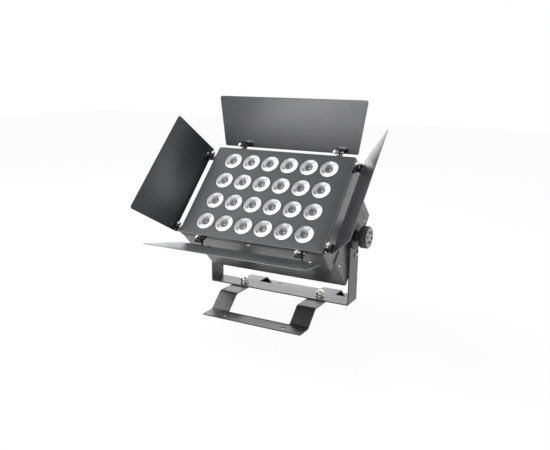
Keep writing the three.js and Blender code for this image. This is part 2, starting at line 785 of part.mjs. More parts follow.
// The clamp knob: a fluted grip on a neck, with pockets in its face and a blind bore for the bolt
function clampKnob() {
  const neck = bar('x', neckRadius, knobInner, gripInner + overrun);
  const grip = turned('x', [
    [0, gripInner], [gripRadius - gripEdge, gripInner], [gripRadius, gripInner + gripEdge],
    [gripRadius, gripOuter - gripEdge], [gripRadius - gripEdge, gripOuter], [0, gripOuter],
  ], gripSides);
  const flutes = [...Array(gripFluteCount).keys()].map((i) => {
    const flute = bar('x', gripFluteRadius, gripInner - overrun, gripOuter + overrun, smallSides / 2);
    return flute.translate(0, gripRadius, 0).rotateX(i * 2 * Math.PI / gripFluteCount);
  });
  const pockets = [...Array(pocketCount).keys()].map((i) => {
    const pocket = bar('x', pocketRadius, gripOuter - pocketDepth, gripOuter + overrun, smallSides);
    return pocket.translate(0, pocketCircle, 0).rotateX(i * 2 * Math.PI / pocketCount);
  });
  const bore = bar('x', studRadius + seatGap, knobInner - overrun, studEnd + seatGap);
  return cut(joined(neck, grip), ...flutes, ...pockets, bore);
}

// The seats of a hinge's nuts, and how far its dome's centre stands from its middle
const forkSide = forkGap / 2 + forkSheet;
const nutSeat = forkSide + seatGap;
const domeSeat = nutSeat + hingeNutRise;
const domeReach = domeSeat + domeHexRise + domeNeck;

// One barn door about its hinge axis: X runs along the hinge, Z away from the panel, Y behind the door
function barnDoor({ innerHalf, outerHalf, tip, setback, standoff, shift, places, domeSide }) {
  const outline = roundedShape([
    [shift - innerHalf, -setback, doorInnerCorner], [shift + innerHalf, -setback, doorInnerCorner],
    [shift + outerHalf, tip, doorCorner], [shift - outerHalf, tip, doorCorner],
  ]);
  const sheet = slab('xz', outline, standoff, standoff + doorSheet);
  const ears = places.map((place) => doorEar(standoff, setback, domeSide).translate(place, 0, 0));
  return joined(sheet, ...ears);
}

// An ear that joins a door to its hinge bolt: a tongue between the fork's sides, a flange bent from it
// behind the nut, and a base plate on the door's inner face
function doorEar(standoff, setback, domeSide) {
  const towards = (near, far) => [domeSide * near, domeSide * far].sort((a, b) => a - b);
  const root = standoff + doorSheet / 2;
  const flangeTop = flangeLow + earSheet;
  const tongue = new THREE.Shape();
  tongue.moveTo(root, earNeck);
  tongue.lineTo(flangeBack + earSheet / 2, earNeck);
  tongue.lineTo(flangeBack, flangeTop);
  tongue.lineTo(flangeFront, flangeTop);
  tongue.lineTo(0, earRadius);
  tongue.absarc(0, 0, earRadius, quarterTurn, 3 * quarterTurn, false);
  tongue.lineTo(root, -setback);
  const plate = slab('yz', tongue, -earSheet / 2, earSheet / 2);
  const flangeRun = towards(-earSheet / 2, flangeReach);
  const flange = block(flangeRun, [flangeFront, flangeBack], [flangeLow, flangeTop]);
  const baseRun = towards(-earSheet, flangeReach);
  const base = block(baseRun, [standoff - doorSheet, root], [earBaseStart, earBaseEnd]);
  const hole = bar('x', hingeBoltRadius + seatGap, -earSheet, earSheet, smallSides);
  return joined(cut(plate, hole), flange, base);
}

// The bracket on the panel's rim: a fork whose two sides hold a hinge bolt
function hingeBracket(domeSide) {
  const footLow = -hingeOffset + seatGap;
  const footTop = footLow + forkSheet;
  const front = hingeForward + seatGap;
  const back = front + bracketDepth;
  const along = [-domeSide * bracketFootInner, domeSide * bracketFootOuter].sort((a, b) => a - b);
  const foot = block(along, [front, back], [footLow, footTop]);
  const tongue = new THREE.Shape();
  tongue.moveTo(-earRadius, 0);
  tongue.lineTo(front, footTop - forkSheet / 2);
  tongue.lineTo(back, footTop - forkSheet / 2);
  tongue.lineTo(earRadius, 0);
  tongue.absarc(0, 0, earRadius, 0, Math.PI, false);
  const forkRuns = [[-forkSide, -forkGap / 2], [forkGap / 2, forkSide]];
  const sides = forkRuns.map((run) => slab('yz', tongue, ...run));
  const hole = bar('x', hingeBoltRadius + seatGap, -forkSide - earSheet, forkSide + earSheet, smallSides);
  return cut(joined(foot, ...sides), hole);
}

// A hinge bolt with its nuts: a head at one end, a plain nut and a dome nut at the other
function hingeBolt(domeSide) {
  const headSeat = -forkSide - seatGap;
  const hexTop = domeSeat + domeHexRise;
  const crown = hexTop + domeNeck;
  const dome = [0, 1, 2, 3].map((step) => {
    const angle = (step / 3) * quarterTurn;
    return [step < 3 ? domeRadius * Math.cos(angle) : 0, crown + domeRadius * Math.sin(angle)];
  });
  const bolt = joined(
    turned('x', [
      [0, headSeat - hingeHeadRise], [hingeHeadRadius * screwCrownShare, headSeat - hingeHeadRise],
      [hingeHeadRadius, headSeat - hingeHeadRise / 2], [hingeHeadRadius, headSeat], [0, headSeat],
    ], smallSides),
    bar('x', hingeBoltRadius, headSeat - hingeHeadRise / 2, crown, smallSides),
    hexBar('x', hingeNutFlats, nutSeat, hexTop),
    turned('x', [[0, hexTop - seatGap], [domeRadius, hexTop - seatGap], ...dome], smallSides),
  );
  return domeSide > 0 ? bolt : bolt.rotateY(Math.PI);
}

// The four doors: where each stands on the panel, how it turns and how far it is open
const doors = [
  { name: 'top', turn: 0, angle: topDoorDeg, wide: true, domeSide: -1, shift: 0 },
  { name: 'bottom', turn: Math.PI, angle: bottomDoorDeg, wide: true, domeSide: 1, shift: bottomDoorShift },
  { name: 'left', turn: -quarterTurn, angle: leftDoorDeg, wide: false, domeSide: 1, shift: 0 },
  { name: 'right', turn: quarterTurn, angle: rightDoorDeg, wide: false, domeSide: -1, shift: 0 },
];

function doorGroup({ name, turn, angle, wide, domeSide, shift }) {
  const along = (wide ? panelWidth : panelHeight) / 2;
  const out = (wide ? panelHeight : panelWidth) / 2 + hingeOffset;
  const spread = along - (wide ? wideDomeInset : sideDomeInset);
  const places = [-1, 1].map((end) => end * spread - domeSide * domeReach);
  const innerHalf = along - (wide ? wideDoorInset : sideDoorInset);
  const outerHalf = innerHalf + (wide ? wideDoorFlare : sideDoorFlare);
  const [tip, setback] = wide ? [wideDoorTip, wideDoorSetback] : [sideDoorTip, sideDoorSetback];
  const standoff = wide ? wideDoorStandoff : sideDoorStandoff;
  const seat = new THREE.Group();
  seat.position.set(Math.sin(turn) * out, -hingeForward, Math.cos(turn) * out);
  seat.rotation.y = turn;
  const geometry = barnDoor({ innerHalf, outerHalf, tip, setback, standoff, shift, places, domeSide });
  const door = piece(`door_${name}`, geometry, blackPaint);
  door.rotation.x = radians(angle);
  seat.add(door);
  places.forEach((place, i) => {
    const bracket = piece(`hinge_bracket_${name}_${i + 1}`, hingeBracket(domeSide), blackPaint);
    const bolt = piece(`hinge_bolt_${name}_${i + 1}`, hingeBolt(domeSide), chrome);
    bracket.position.x = place;
    bolt.position.x = place;
    seat.add(bracket, bolt);
  });
  return seat;
}

// The pivot's pieces on one side of the head
function pivotGroup(name, side) {
  const group = new THREE.Group();
  group.rotation.z = side > 0 ? 0 : Math.PI;
  group.add(
    piece(`pivot_stud_${name}`, pivotStud(), steel),
    piece(`pivot_washer_${name}`, ring(washerRadius, innerWall + seatGap, armInside - seatGap), blackPlastic),
    piece(`friction_disc_${name}`, ring(discRadius, armOutside + seatGap, discOuter), blackPlastic),
    piece(`clamp_knob_${name}`, clampKnob(), blackPlastic),
  );
  return group;
}

// The whole light. The head turns about the pivot, and the panel's origin is the centre of its face
const light = new THREE.Group();
const stand = floorStand();
stand.position.z = -standHeight - seatGap;
light.add(stand, yoke());
[['left', -1], ['right', 1]].forEach(([name, side]) => {
  const bolt = standBolt(`stand_bolt_${name}`);
  const nut = standNut(`stand_nut_${name}`);
  bolt.position.x = side * strapCentre;
  nut.position.x = side * strapCentre;
  light.add(bolt, nut);
});

const head = new THREE.Group();
head.position.z = barSheet + pivotRise;
head.rotation.x = -radians(tiltDeg);
head.add(pivotGroup('left', -1), pivotGroup('right', 1));

const panel = new THREE.Group();
panel.position.set(0, -pivotDepth, pivotDrop);
panel.add(
  frontPlate(), ...rows.map(lensRow), ledBoard(), heatSink(), frontCasing(), casingScrew(),
  rearCasing(), rearCover(), fanFrame(), fanRotor(), displayWindow(),
  ...buttonPlaces.map((_, i) => pushButton(i)),
  controlBoard(), powerSupply(), fuseHolder(),
  socket('dmx_in', dmxInPlaceX, false), socket('dmx_out', dmxOutPlaceX, true),
  socket('power_in', powerInPlaceX, false), socket('power_out', powerOutPlaceX, false),
  ...doors.map(doorGroup),
);
head.add(panel);
light.add(head);

export default light;
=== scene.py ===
# %% [markdown]
# # A stage wash light with barn doors
# The light is a flat head full of lenses, held in a U-shaped yoke on a low floor stand. Four hinged
# leaves shape its beam. The solids behind this scene already have the right sizes and joints, so the
# lesson here is about surfaces: each visible piece is worked out from a formula and painted.

# %% Load the solids
from math import cos, pi, radians, sin, sqrt

import bmesh
import bpy
import numpy as np
from mathutils import Matrix
from mathutils.geometry import delaunay_2d_cdt


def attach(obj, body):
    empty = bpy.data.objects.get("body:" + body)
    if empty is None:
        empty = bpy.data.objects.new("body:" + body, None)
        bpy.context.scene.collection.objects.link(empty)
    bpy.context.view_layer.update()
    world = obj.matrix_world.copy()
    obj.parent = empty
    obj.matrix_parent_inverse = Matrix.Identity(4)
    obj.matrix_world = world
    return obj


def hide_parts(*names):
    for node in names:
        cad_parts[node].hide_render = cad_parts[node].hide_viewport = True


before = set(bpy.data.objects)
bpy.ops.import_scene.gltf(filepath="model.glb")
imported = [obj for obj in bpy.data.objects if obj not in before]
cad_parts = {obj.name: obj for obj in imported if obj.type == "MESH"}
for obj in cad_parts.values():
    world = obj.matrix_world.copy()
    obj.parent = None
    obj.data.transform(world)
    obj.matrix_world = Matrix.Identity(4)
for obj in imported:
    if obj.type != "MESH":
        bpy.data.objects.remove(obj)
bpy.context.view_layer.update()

# %% [markdown]
# ## Camera
# The picture was taken from the right of the light and slightly above it. A camera can be placed by
# eye, but it's better solved from known right angles. The solved values are an azimuth, an elevation
# and a small roll, which give the camera's three axes, and a lens length.

# %% Camera
AZIMUTH, ELEVATION, ROLL = radians(28.0), radians(13.12), radians(0.79)
CAMERA_PLACE = (0.69625, -1.34672, 0.5159)
LENS_MM, SENSOR_MM = 42.58, 36


def camera_axes():
    """Back points to the camera, right is level, up is back x right, and roll turns the last two."""
    back = np.array([sin(AZIMUTH) * cos(ELEVATION), -cos(AZIMUTH) * cos(ELEVATION), sin(ELEVATION)])
    right = np.array([cos(AZIMUTH), sin(AZIMUTH), 0])
    up = np.cross(back, right)
    return cos(ROLL) * right + sin(ROLL) * up, cos(ROLL) * up - sin(ROLL) * right, back


def linked(name, data):
    """A new object in the scene."""
    thing = bpy.data.objects.new(name, data)
    bpy.context.collection.objects.link(thing)
    return thing


camera = linked("camera", bpy.data.cameras.new("camera"))
turn = Matrix(np.column_stack(camera_axes()).tolist()).to_4x4()
camera.matrix_world = Matrix.Translation(CAMERA_PLACE) @ turn
camera.data.lens, camera.data.sensor_width = LENS_MM, SENSOR_MM
bpy.context.scene.camera = camera
print("camera at", CAMERA_PLACE)

# %% [markdown]
# ## Frames of reference
# A tilted head is awkward to draw in place. So each piece is drawn in millimetres in a frame of its
# own, where its faces are level, and a small function carries its points to their place in metres.
# The panel frame has X to the right, Y into the head and Z up the face. A hinge frame has X along the
# hinge, Z away from the panel and Y behind the leaf.

# %% Frames
TILT = radians(44.4)
PIVOT_Z, PIVOT_DEPTH, PIVOT_DROP = 160.4, 120.0, 6.0
HALF_X, HALF_Z = 180.0, 125.0
HINGE_OUT, HINGE_FORWARD = 8.4, 0.9
FLOOR_Z = -38.1


def on_stand(points):
    """The stand and the yoke are drawn in place, so only the unit changes."""
    return points / 1000


def on_head(points):
    """Turn about X by the tilt, then lift to the pivot."""
    x, y, z = points.T
    back, up = y * cos(TILT) + z * sin(TILT), z * cos(TILT) - y * sin(TILT)
    return np.column_stack([x, back, up + PIVOT_Z]) / 1000


def on_panel(points):
    """Move from the face's centre to the pivot, then go on as the head does."""
    return on_head(points + [0, -PIVOT_DEPTH, PIVOT_DROP])


def off_panel(points):
    """The way back from metres to the panel's own frame: unlift, turn by minus the tilt and unshift."""
    x, y, z = (points * 1000 - [0, 0, PIVOT_Z]).T
    depth, rise = y * cos(TILT) - z * sin(TILT), y * sin(TILT) + z * cos(TILT)
    return np.column_stack([x, depth + PIVOT_DEPTH, rise - PIVOT_DROP])


def on_pivot(side):
    """X runs outwards along the pivot, so the left side is turned half round."""
    return lambda points: on_head(points * [side, side, 1])


def on_hinge(door, swing):
    """Swing about X, turn about Y to the panel's edge, then move out to the hinge."""
    axes = Matrix.Rotation(door["turn"], 3, "Y") @ Matrix.Rotation(swing, 3, "X")
    out = door["out"] + HINGE_OUT
    place = np.array([sin(door["turn"]) * out, -HINGE_FORWARD, cos(door["turn"]) * out])
    return lambda points: on_panel(points @ np.array(axes).T + place)


print("face centre:", on_panel(np.zeros((1, 3)))[0].round(4))

# %% [markdown]
# ## Surfaces from formulas
# Almost every piece of sheet metal or turned metal is a profile carried along a path. A grid holds the
# points: one index runs along the profile, the other along the path. Four neighbours make a face, so
# the faces follow from the grid's size alone.

# %% Grids
def grid_faces(rows, columns, wrap_rows):
    """A face joins point (i, j) to (i + 1, j), (i + 1, j + 1) and (i, j + 1). Columns close round."""
    i, j = np.meshgrid(np.arange(rows - (not wrap_rows)), np.arange(columns), indexing="ij")
    up, on = (i + 1) % rows, (j + 1) % columns
    corners = [i * columns + j, up * columns + j, up * columns + on, i * columns + on]
    return np.stack(corners, -1).reshape(-1, 4)


def shell(points, wrap_rows=False, caps=False):
    """A grid of points as a mesh. Caps close its first and last rows."""
    rows, columns = points.shape[:2]
    faces = grid_faces(rows, columns, wrap_rows).tolist()
    if caps:
        faces += [list(range(columns)), list(range((rows - 1) * columns, rows * columns))]
    return points.reshape(-1, 3), faces


def stacked(plane, a, b, along):
    """Puts two drawn values and one value along their normal on the axes that the plane names."""
    order = {"xz": (a, along, b), "yz": (along, a, b), "xy": (a, b, along)}[plane]
    return np.stack(np.broadcast_arrays(*order), -1).astype(float)


def turned(axis, profile, sides=48, shape=None):
    """Radius r and place p carried round an axis: (r cos t, r sin t, p). Shape(t) may limit r."""
    radius, place = np.array(profile, float).T[:, :, None]
    t = np.linspace(0, 2 * pi, sides, endpoint=False)[None, :]
    r = radius * np.ones_like(t)
    if shape is not None:
        r = np.minimum(r, shape(t))
    plane = {"x": "yz", "y": "xz", "z": "xy"}[axis]
    return shell(stacked(plane, r * np.cos(t), r * np.sin(t), place * np.ones_like(t)))


def hexagon(across_flats):
    """A hexagon's radius at t: half the flats' distance over the cosine of the angle to the next flat."""
    return lambda t: across_flats / 2 / np.cos((t + pi / 6) % (pi / 3) - pi / 6)


# %% Outlines and slabs
def rounded(corners, steps):
    """Each corner P becomes the curve (1-t)^2 A + 2t(1-t) P + t^2 C. A and C lie on its two sides, the
    corner's reach away from it."""
    table = np.array(corners, float)
    spot, reach = table[:, :2], table[:, 2:]

    def towards(other):
        way = other - spot
        return spot + way / np.linalg.norm(way, axis=1, keepdims=True) * reach

    start, end = towards(np.roll(spot, 1, 0)), towards(np.roll(spot, -1, 0))
    t = np.linspace(0, 1, steps + 1)[None, :, None]
    curve = (1 - t) ** 2 * start[:, None] + 2 * t * (1 - t) * spot[:, None] + t**2 * end[:, None]
    return curve.reshape(-1, 2)


def moved(part, x, y, z):
    """The same faces with their points shifted."""
    points, faces = part
    return points + [x, y, z], faces


def rectangle(a0, a1, b0, b1, reach, steps=6):
    """A rectangle's outline, anticlockwise, with its corners rounded."""
    return rounded([(a0, b0, reach), (a1, b0, reach), (a1, b1, reach), (a0, b1, reach)], steps)


def circle(a, b, radius, sides=32):
    """(a + r cos t, b + r sin t) for t round the circle."""
    t = np.linspace(0, 2 * pi, sides, endpoint=False)
    return np.column_stack([a + radius * np.cos(t), b + radius * np.sin(t)])


def inset(outline, by):
    """Moves each point of an anticlockwise outline inwards, square to the chord of its two neighbours."""
    chord = np.roll(outline, -1, 0) - np.roll(outline, 1, 0)
    normal = np.column_stack([-chord[:, 1], chord[:, 0]])
    return outline + normal / np.linalg.norm(normal, axis=1, keepdims=True) * by


def slab(plane, outline, low, high, edge, steps=3):
    """An outline given thickness. Its rims are quarter circles: inset e(1 - sin t), depth e(1 - cos t)."""
    t = np.linspace(0, pi / 2, steps)
    back, down = edge * (1 - np.sin(t)), edge * (1 - np.cos(t))
    rings = [(b, low + d) for b, d in zip(back, down)]
    rings += [(b, high - d) for b, d in zip(back[::-1], down[::-1])]
    loops = [inset(outline, b) for b, _ in rings]
    grid = [stacked(plane, loop[:, 0], loop[:, 1], place) for loop, (_, place) in zip(loops, rings)]
    return shell(np.array(grid), caps=True)


def carried(plane, loops):
    """A closed profile carried round an outline: pairs of an outline of equal length and its place."""
    grid = [stacked(plane, loop[:, 0], loop[:, 1], place) for loop, place in loops]
    return shell(np.array(grid), wrap_rows=True)


# %% [markdown]
# ## Sheet metal, cut flat and folded
# The yoke, the stand, the front plate and the rear cover are real sheet metal: a flat blank is cut with
# its holes and then bent. The mesh is made the same way. A triangulation fills the flat outline and
# leaves the holes open, extra lines mark where it bends, and a fold function carries the flat points
# onto the bent path. Solidify then gives the sheet its thickness and Bevel softens its cut edges.

# %% Flat blanks and folds
def inside(points, loop):
    """Even-odd rule: a point is inside if a level line from it crosses the loop an odd number of times."""
    (x, y), (ax, ay) = points.T[:, :, None], loop.T[:, None, :]
    bx, by = np.roll(ax, -1, 1), np.roll(ay, -1, 1)
    rise = np.where(by == ay, 1e-12, by - ay)
    crossed = ((ay > y) != (by > y)) & (x < (bx - ax) * (y - ay) / rise + ax)
    return crossed.sum(1) % 2 == 1


def blank(outline, holes, folds=()):
    """Triangles that fill an outline apart from its holes. Each fold is a line between two points."""
    loops = [outline, *holes]
    sizes = np.array([len(loop) for loop in loops])
    firsts = np.cumsum(sizes) - sizes
    edges = [np.column_stack([f + np.arange(n), f + (np.arange(n) + 1) % n]) for f, n in zip(firsts, sizes)]
    points = np.vstack([*loops, *[np.array(fold, float) for fold in folds]])
    lines = sizes.sum() + np.arange(2 * len(folds)).reshape(-1, 2)
    links = np.vstack([*edges, lines]).astype(int)
    flat, _, faces, *_ = delaunay_2d_cdt(points.tolist(), links.tolist(), [], 0, 1e-6)
    flat, faces = np.array([tuple(p) for p in flat]), np.array(faces)
    middle = flat[faces].mean(1)
    keep = inside(middle, outline)
    for hole in holes:
        keep &= ~inside(middle, hole)
    return flat, faces[keep]


BEND_STEPS = 5


def bent_path(corners):
    """An open path whose inner corners are rounded, and the distance run at each of its points."""
    table = np.array([(a, b, max(r, 1e-4)) for a, b, r in corners])
    path = rounded(table, BEND_STEPS)[BEND_STEPS:-BEND_STEPS]
    run = np.concatenate([[0], np.cumsum(np.linalg.norm(np.diff(path, axis=0), axis=1))])
    return path, run


def folded(path, run, at):
    """The point of the path at distance u, on the straight line between the two points beside it."""
    return np.interp(at, run, path[:, 0]), np.interp(at, run, path[:, 1])


# %% [markdown]
# ## Paint, plastic and metal
# A material is a small sum of patterns. Written as nodes, even one product takes a line of its own, so
# one small class wraps a socket and lets Python's operators add the Math nodes. All the patterns read
# Object coordinates, in metres, so a grain of 0.4 mm has a scale of about 2500.

# %% Shader arithmetic
class Value:
    """A number that varies over a surface, with the operators of a number."""

    def __init__(self, paint, socket):
        self.paint, self.socket = paint, socket

    def __add__(self, other):
        return self.paint.math("ADD", self, other)

    def __sub__(self, other):
        return self.paint.math("SUBTRACT", self, other)

    def __mul__(self, other):
        return self.paint.math("MULTIPLY", self, other)


class Paint:
    """One material with a Principled shader, and the nodes that feed it."""

    def __init__(self, name):
        self.material = bpy.data.materials.new(name)
        self.material.use_nodes = True
        self.tree = self.material.node_tree
        self.shader = self.tree.nodes["Principled BSDF"]
        self.place = self.add("ShaderNodeTexCoord", {}, out="Object")

    def finish(self, **looks):
        """Feeds the shader's inputs by their names, and gives the material."""
        for name, value in looks.items():
            self.feed(self.shader.inputs[name.replace("_", " ").title()], value)
        return self.material

    def feed(self, socket, value):
        """Links a socket to a Value, or sets it to a number or a colour."""
        if isinstance(value, Value):
            self.tree.links.new(value.socket, socket)
        else:
            socket.default_value = value

    def add(self, kind, settings, inputs=(), out=0):
        """Adds a node: first its settings, then the values or links of its inputs."""
        node = self.tree.nodes.new(kind)
        for name, value in settings.items():
            setattr(node, name, value)
        for key, value in dict(inputs).items():
            self.feed(node.inputs[key], value)
        return Value(self, node.outputs[out])

    def math(self, operation, a, b):
        return self.add("ShaderNodeMath", {"operation": operation}, {0: a, 1: b})

    def vectors(self, operation, a, b):
        """One number from two vectors, such as their dot product or their distance."""
        return self.add("ShaderNodeVectorMath", {"operation": operation}, {0: a, 1: b}, out="Value")

    def noise(self, scale, detail=2.0, stretch=(1, 1, 1)):
        """Noise from 0 to 1 with the given number of grains a metre, drawn out along an axis if need be."""
        place = self.add("ShaderNodeMapping", {}, {"Vector": self.place, "Scale": stretch})
        return self.add("ShaderNodeTexNoise", {}, {"Vector": place, "Scale": scale, "Detail": detail})

    def step(self, value, low, high):
        """0 below low, 1 above high and a straight line between."""
        return self.add("ShaderNodeMapRange", {"clamp": True}, {0: value, 1: low, 2: high})

    def split(self, vector, part):
        """One number of a vector."""
        return self.add("ShaderNodeSeparateXYZ", {}, {0: vector}, out=part)

    def ramp(self, value, stops):
        """A colour from a list of places and colours, with straight lines between them."""
        result = self.add("ShaderNodeValToRGB", {}, {0: value}, out="Color")
        elements = result.socket.node.color_ramp.elements
        while len(elements) < len(stops):
            elements.new(1.0)
        for element, (place, colour) in zip(elements, stops):
            element.position, element.color = place, colour
        return result

    def band(self, value, middle, half):
        """1 at the middle, falling to 0 at half its width on either side."""
        away = self.add("ShaderNodeMath", {"operation": "ABSOLUTE"}, {0: value - middle})
        return self.step(away, half, 0.0)

    def blend(self, factor, first, second):
        """A colour between two colours."""
        mixed = {"data_type": "RGBA"}
        return self.add("ShaderNodeMix", mixed, {0: factor, 6: first, 7: second}, out=2)

    def bump(self, height, strength, distance=0.0002):
        """Tilts the surface's normal by a height."""
        inputs = {"Strength": strength, "Distance": distance, "Height": height}
        return self.add("ShaderNodeBump", {}, inputs)


def tone(red, green, blue, share=1.0):
    """A screen colour of 0 to 255 as linear light: ((c + 0.055) / 1.055) ^ 2.4 for all but the darkest."""
    screen = np.array([red, green, blue]) / 255
    linear = np.where(screen < 0.04045, screen / 12.92, ((screen + 0.055) / 1.055) ** 2.4)
    return (*(linear * share).tolist(), 1.0)


# %% [markdown]
# ### Black powder coat
# The sheet metal is powder coated: dark grey rather than black, half glossy, with a very fine grain.
# Baked powder also varies a little in gloss over a hand's breadth, and dust lightens it in patches.
# Two slow noises drive both colour and roughness, and two fine ones the grain. A sheet's rims and bends
# are painted paler than its flat side, a painted highlight where they would catch the light. The cosine
# between the normal and the flat side's normal tells them apart, and it's read on the object, so it
# stays right when a leaf swings. A near-white painted highlight can also be put at given spots.

# %% Coats and plastics
def powder_coat(name, colour, gloss, flat=None, sheen_band=(0, 1), other=(150, 150, 152), glint_spots=(), specular=0.5):
    """Colour and roughness drift slowly, and a grain of under half a millimetre tilts the normal. Where a
    flat side's normal is given, a painted highlight in the other tone lies where the cosine to it nears the
    first sheen_band value, so rims and bends look lit. At the glint spots a near-white painted highlight
    is put on the coat."""
    paint = Paint(name)
    paint.feed(paint.shader.inputs["Specular IOR Level"], specular)
    drift = paint.noise(9, 3)
    cloud = paint.noise(60, 4)
    speck = paint.noise(2600)
    mottle = paint.step(drift * 0.6 + cloud * 0.4, 0.3, 0.7)
    base = paint.blend(mottle, tone(*colour, 0.9), tone(*colour, 1.12))
    # Painted highlight: the other tone on rims and bends, where the normal turns away from the flat side.
    if flat is not None:
        normal = paint.add("ShaderNodeTexCoord", {}, out="Normal")
        across = paint.vectors("DOT_PRODUCT", normal, flat)
        base = paint.blend(paint.band(across, *sheen_band), base, tone(*other))
    # Painted highlight: a near-white spot at each glint spot.
    for spot in glint_spots:
        away = paint.vectors("DISTANCE", paint.place, spot)
        base = paint.blend(paint.step(away, 0.0065, 0.0045), base, tone(240, 240, 238))
    rough = drift * 0.08 + cloud * 0.06 + speck * 0.06 + (gloss - 0.1)
    height = speck * 0.7 + paint.noise(900) * 0.5
    return paint.finish(base_color=base, roughness=rough, normal=paint.bump(height, 0.1))


def moulded(name, colour, gloss, grain=0.2):
    """Moulded plastic: an even colour with a spark-eroded grain and faint flow marks."""
    paint = Paint(name)
    grit, flow = paint.noise(3200, 3), paint.noise(30, 2, (1, 1, 0.3))
    base = paint.blend(flow, tone(*colour, 0.85), tone(*colour, 1.15))
    rough = grit * 0.15 + flow * 0.08 + (gloss - 0.11)
    return paint.finish(base_color=base, roughness=rough, normal=paint.bump(grit, grain))


def plated(name, colour, gloss, scratch=0.05):
    """Bare or plated metal: fine scratches one way, and patches where plating is duller."""
    paint = Paint(name)
    patch, hair = paint.noise(120, 3), paint.noise(900, 2, (1, 1, 12))
    base = paint.blend(patch, tone(*colour, 0.9), tone(*colour))
    rough = patch * 0.08 + hair * 0.06 + gloss
    return paint.finish(metallic=1.0, base_color=base, roughness=rough, normal=paint.bump(hair, scratch))


panel_front = ((on_panel(np.array([[0, -1, 0]])) - on_panel(np.zeros((1, 3))))[0] * 1000).tolist()
# Painted highlight: a near-white line along the face plate's bend.
face_coat = powder_coat("face_coat", (48, 49, 53), 0.42, flat=panel_front, sheen_band=(0.6, 0.36),
                        other=(236, 236, 238))
ear_coat = powder_coat("ear_coat", (42, 43, 47), 0.32)
casing_coat = powder_coat("casing_coat", (78, 78, 78), 0.32)
# Painted highlight: near-white spots at the rear ends of the yoke's slots.
SLOT_ENDS = [(side * 0.185, 0.0165, 0.1145) for side in (-1, 1)]
yoke_coat = powder_coat("yoke_coat", (58, 58, 60), 0.30, glint_spots=SLOT_ENDS)
# Painted shade: a near-black coat with no gloss for the stand's underside, which lies in shadow.
underside_shade_coat = powder_coat("underside_shade_coat", (20, 20, 21), 0.6, specular=0.0)
hinge_black = powder_coat("hinge_black", (18, 18, 20), 0.4, specular=0.2)
knob_plastic = moulded("knob_plastic", (62, 61, 61), 0.30)
# Painted reflection: pale grey for the knob's face, standing for the white room mirrored in its glossy
# plastic.
knob_face_shine = moulded("knob_face_shine", (140, 140, 140), 0.14, 0.05)
black_plastic = moulded("black_plastic", (22, 22, 24), 0.45)
fan_plastic = moulded("fan_plastic", (26, 26, 27), 0.55)
chrome = plated("chrome", (236, 234, 226), 0.16, 0.02)
zinc = plated("zinc", (206, 200, 184), 0.2)
# Painted light: a shaded and a lit copy of the same bolt steel.
shaded_steel = plated("shaded_steel", (62, 60, 58), 0.3)
lit_steel = plated("lit_steel", (134, 132, 130), 0.25)
# Painted reflection: a near-white plastic standing for chrome that mirrors the white room, on the dome balls
# and two leaf screws.
white_shine = moulded("white_shine", (236, 236, 236), 0.1, 0.02)
raw_aluminium = plated("raw_aluminium", (196, 198, 202), 0.3)
print("materials:", len(bpy.data.materials))

# %% [markdown]
# ### Circuit board, window and light source
# The light source is a small dark chip. The boards are green with paler tracks, which a step cuts out
# of a stretched noise. The display window is smoked and glossy.

# %% Small finishes
def circuit_board():
    """Green mask, with paler tracks where a stretched noise passes a level."""
    paint = Paint("circuit_board")
    track = paint.step(paint.noise(160, 1, (1, 1, 6)), 0.52, 0.54)
    base = paint.blend(track, tone(18, 74, 40), tone(36, 104, 60))
    return paint.finish(base_color=base, roughness=0.35, normal=paint.bump(track, 0.3))


green_board = circuit_board()
smoked_window = moulded("smoked_window", (16, 17, 20), 0.16, 0.0)
chip_dark = moulded("chip_dark", (40, 41, 44), 0.25, 0.05)

# %% [markdown]
# ## Making a piece
# One function turns shells into an object. It joins them, merges doubles, points all the faces outwards
# and gives the piece its finish, the body it moves with and the solids it stands for.

# %% The piece maker
def tidy(mesh, outwards):
    """Merges points closer than a micrometre, and points closed shells outwards."""
    work = bmesh.new()
    work.from_mesh(mesh)
    bmesh.ops.remove_doubles(work, verts=work.verts, dist=1e-6)
    if outwards:
        bmesh.ops.recalc_face_normals(work, faces=work.faces)
    work.to_mesh(mesh)
    work.free()


def piece(name, body, coat, place, shells, stands_for=(), outwards=True, sharp=32):
    """The shells as one object in metres, riding on its body."""
    points, faces, count = [], [], 0
    for verts, polygons in shells:
        points.append(place(verts))
        faces += [[corner + count for corner in polygon] for polygon in polygons]
        count += len(verts)
    mesh = bpy.data.meshes.new(name)
    mesh.from_pydata(np.vstack(points).tolist(), [], faces)
    tidy(mesh, outwards)
    mesh.shade_smooth()
    mesh.set_sharp_from_angle(angle=radians(sharp))
    mesh.materials.append(coat)
    thing = linked(name, mesh)
    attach(thing, body)
    if stands_for:
        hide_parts(*stands_for)
    return thing


def sheet_piece(name, body, coat, place, shells, thickness, stands_for, edge=0.25):
    """A piece drawn as one face of a sheet. Solidify thickens it inwards, and Bevel softens its edges."""
    thing = piece(name, body, coat, place, shells, stands_for, outwards=False, sharp=180)
    wall = thing.modifiers.new("wall", "SOLIDIFY")
    wall.thickness, wall.offset, wall.use_even_offset = thickness / 1000, -1, True
    rim = thing.modifiers.new("rim", "BEVEL")
    rim.width, rim.segments, rim.angle_limit = edge / 1000, 2, radians(40)
    rim.limit_method, rim.harden_normals = "ANGLE", True
    return thing


# %% [markdown]
# ## The yoke
# The yoke is one flat bar bent twice. Its arms end in half circles round the pivot, and each has a
# curved slot below the pivot, with a near-white painted highlight at its rear end. The blank is drawn
# with the distance along the bar in one direction and the width in the other, then folded up at both bends.

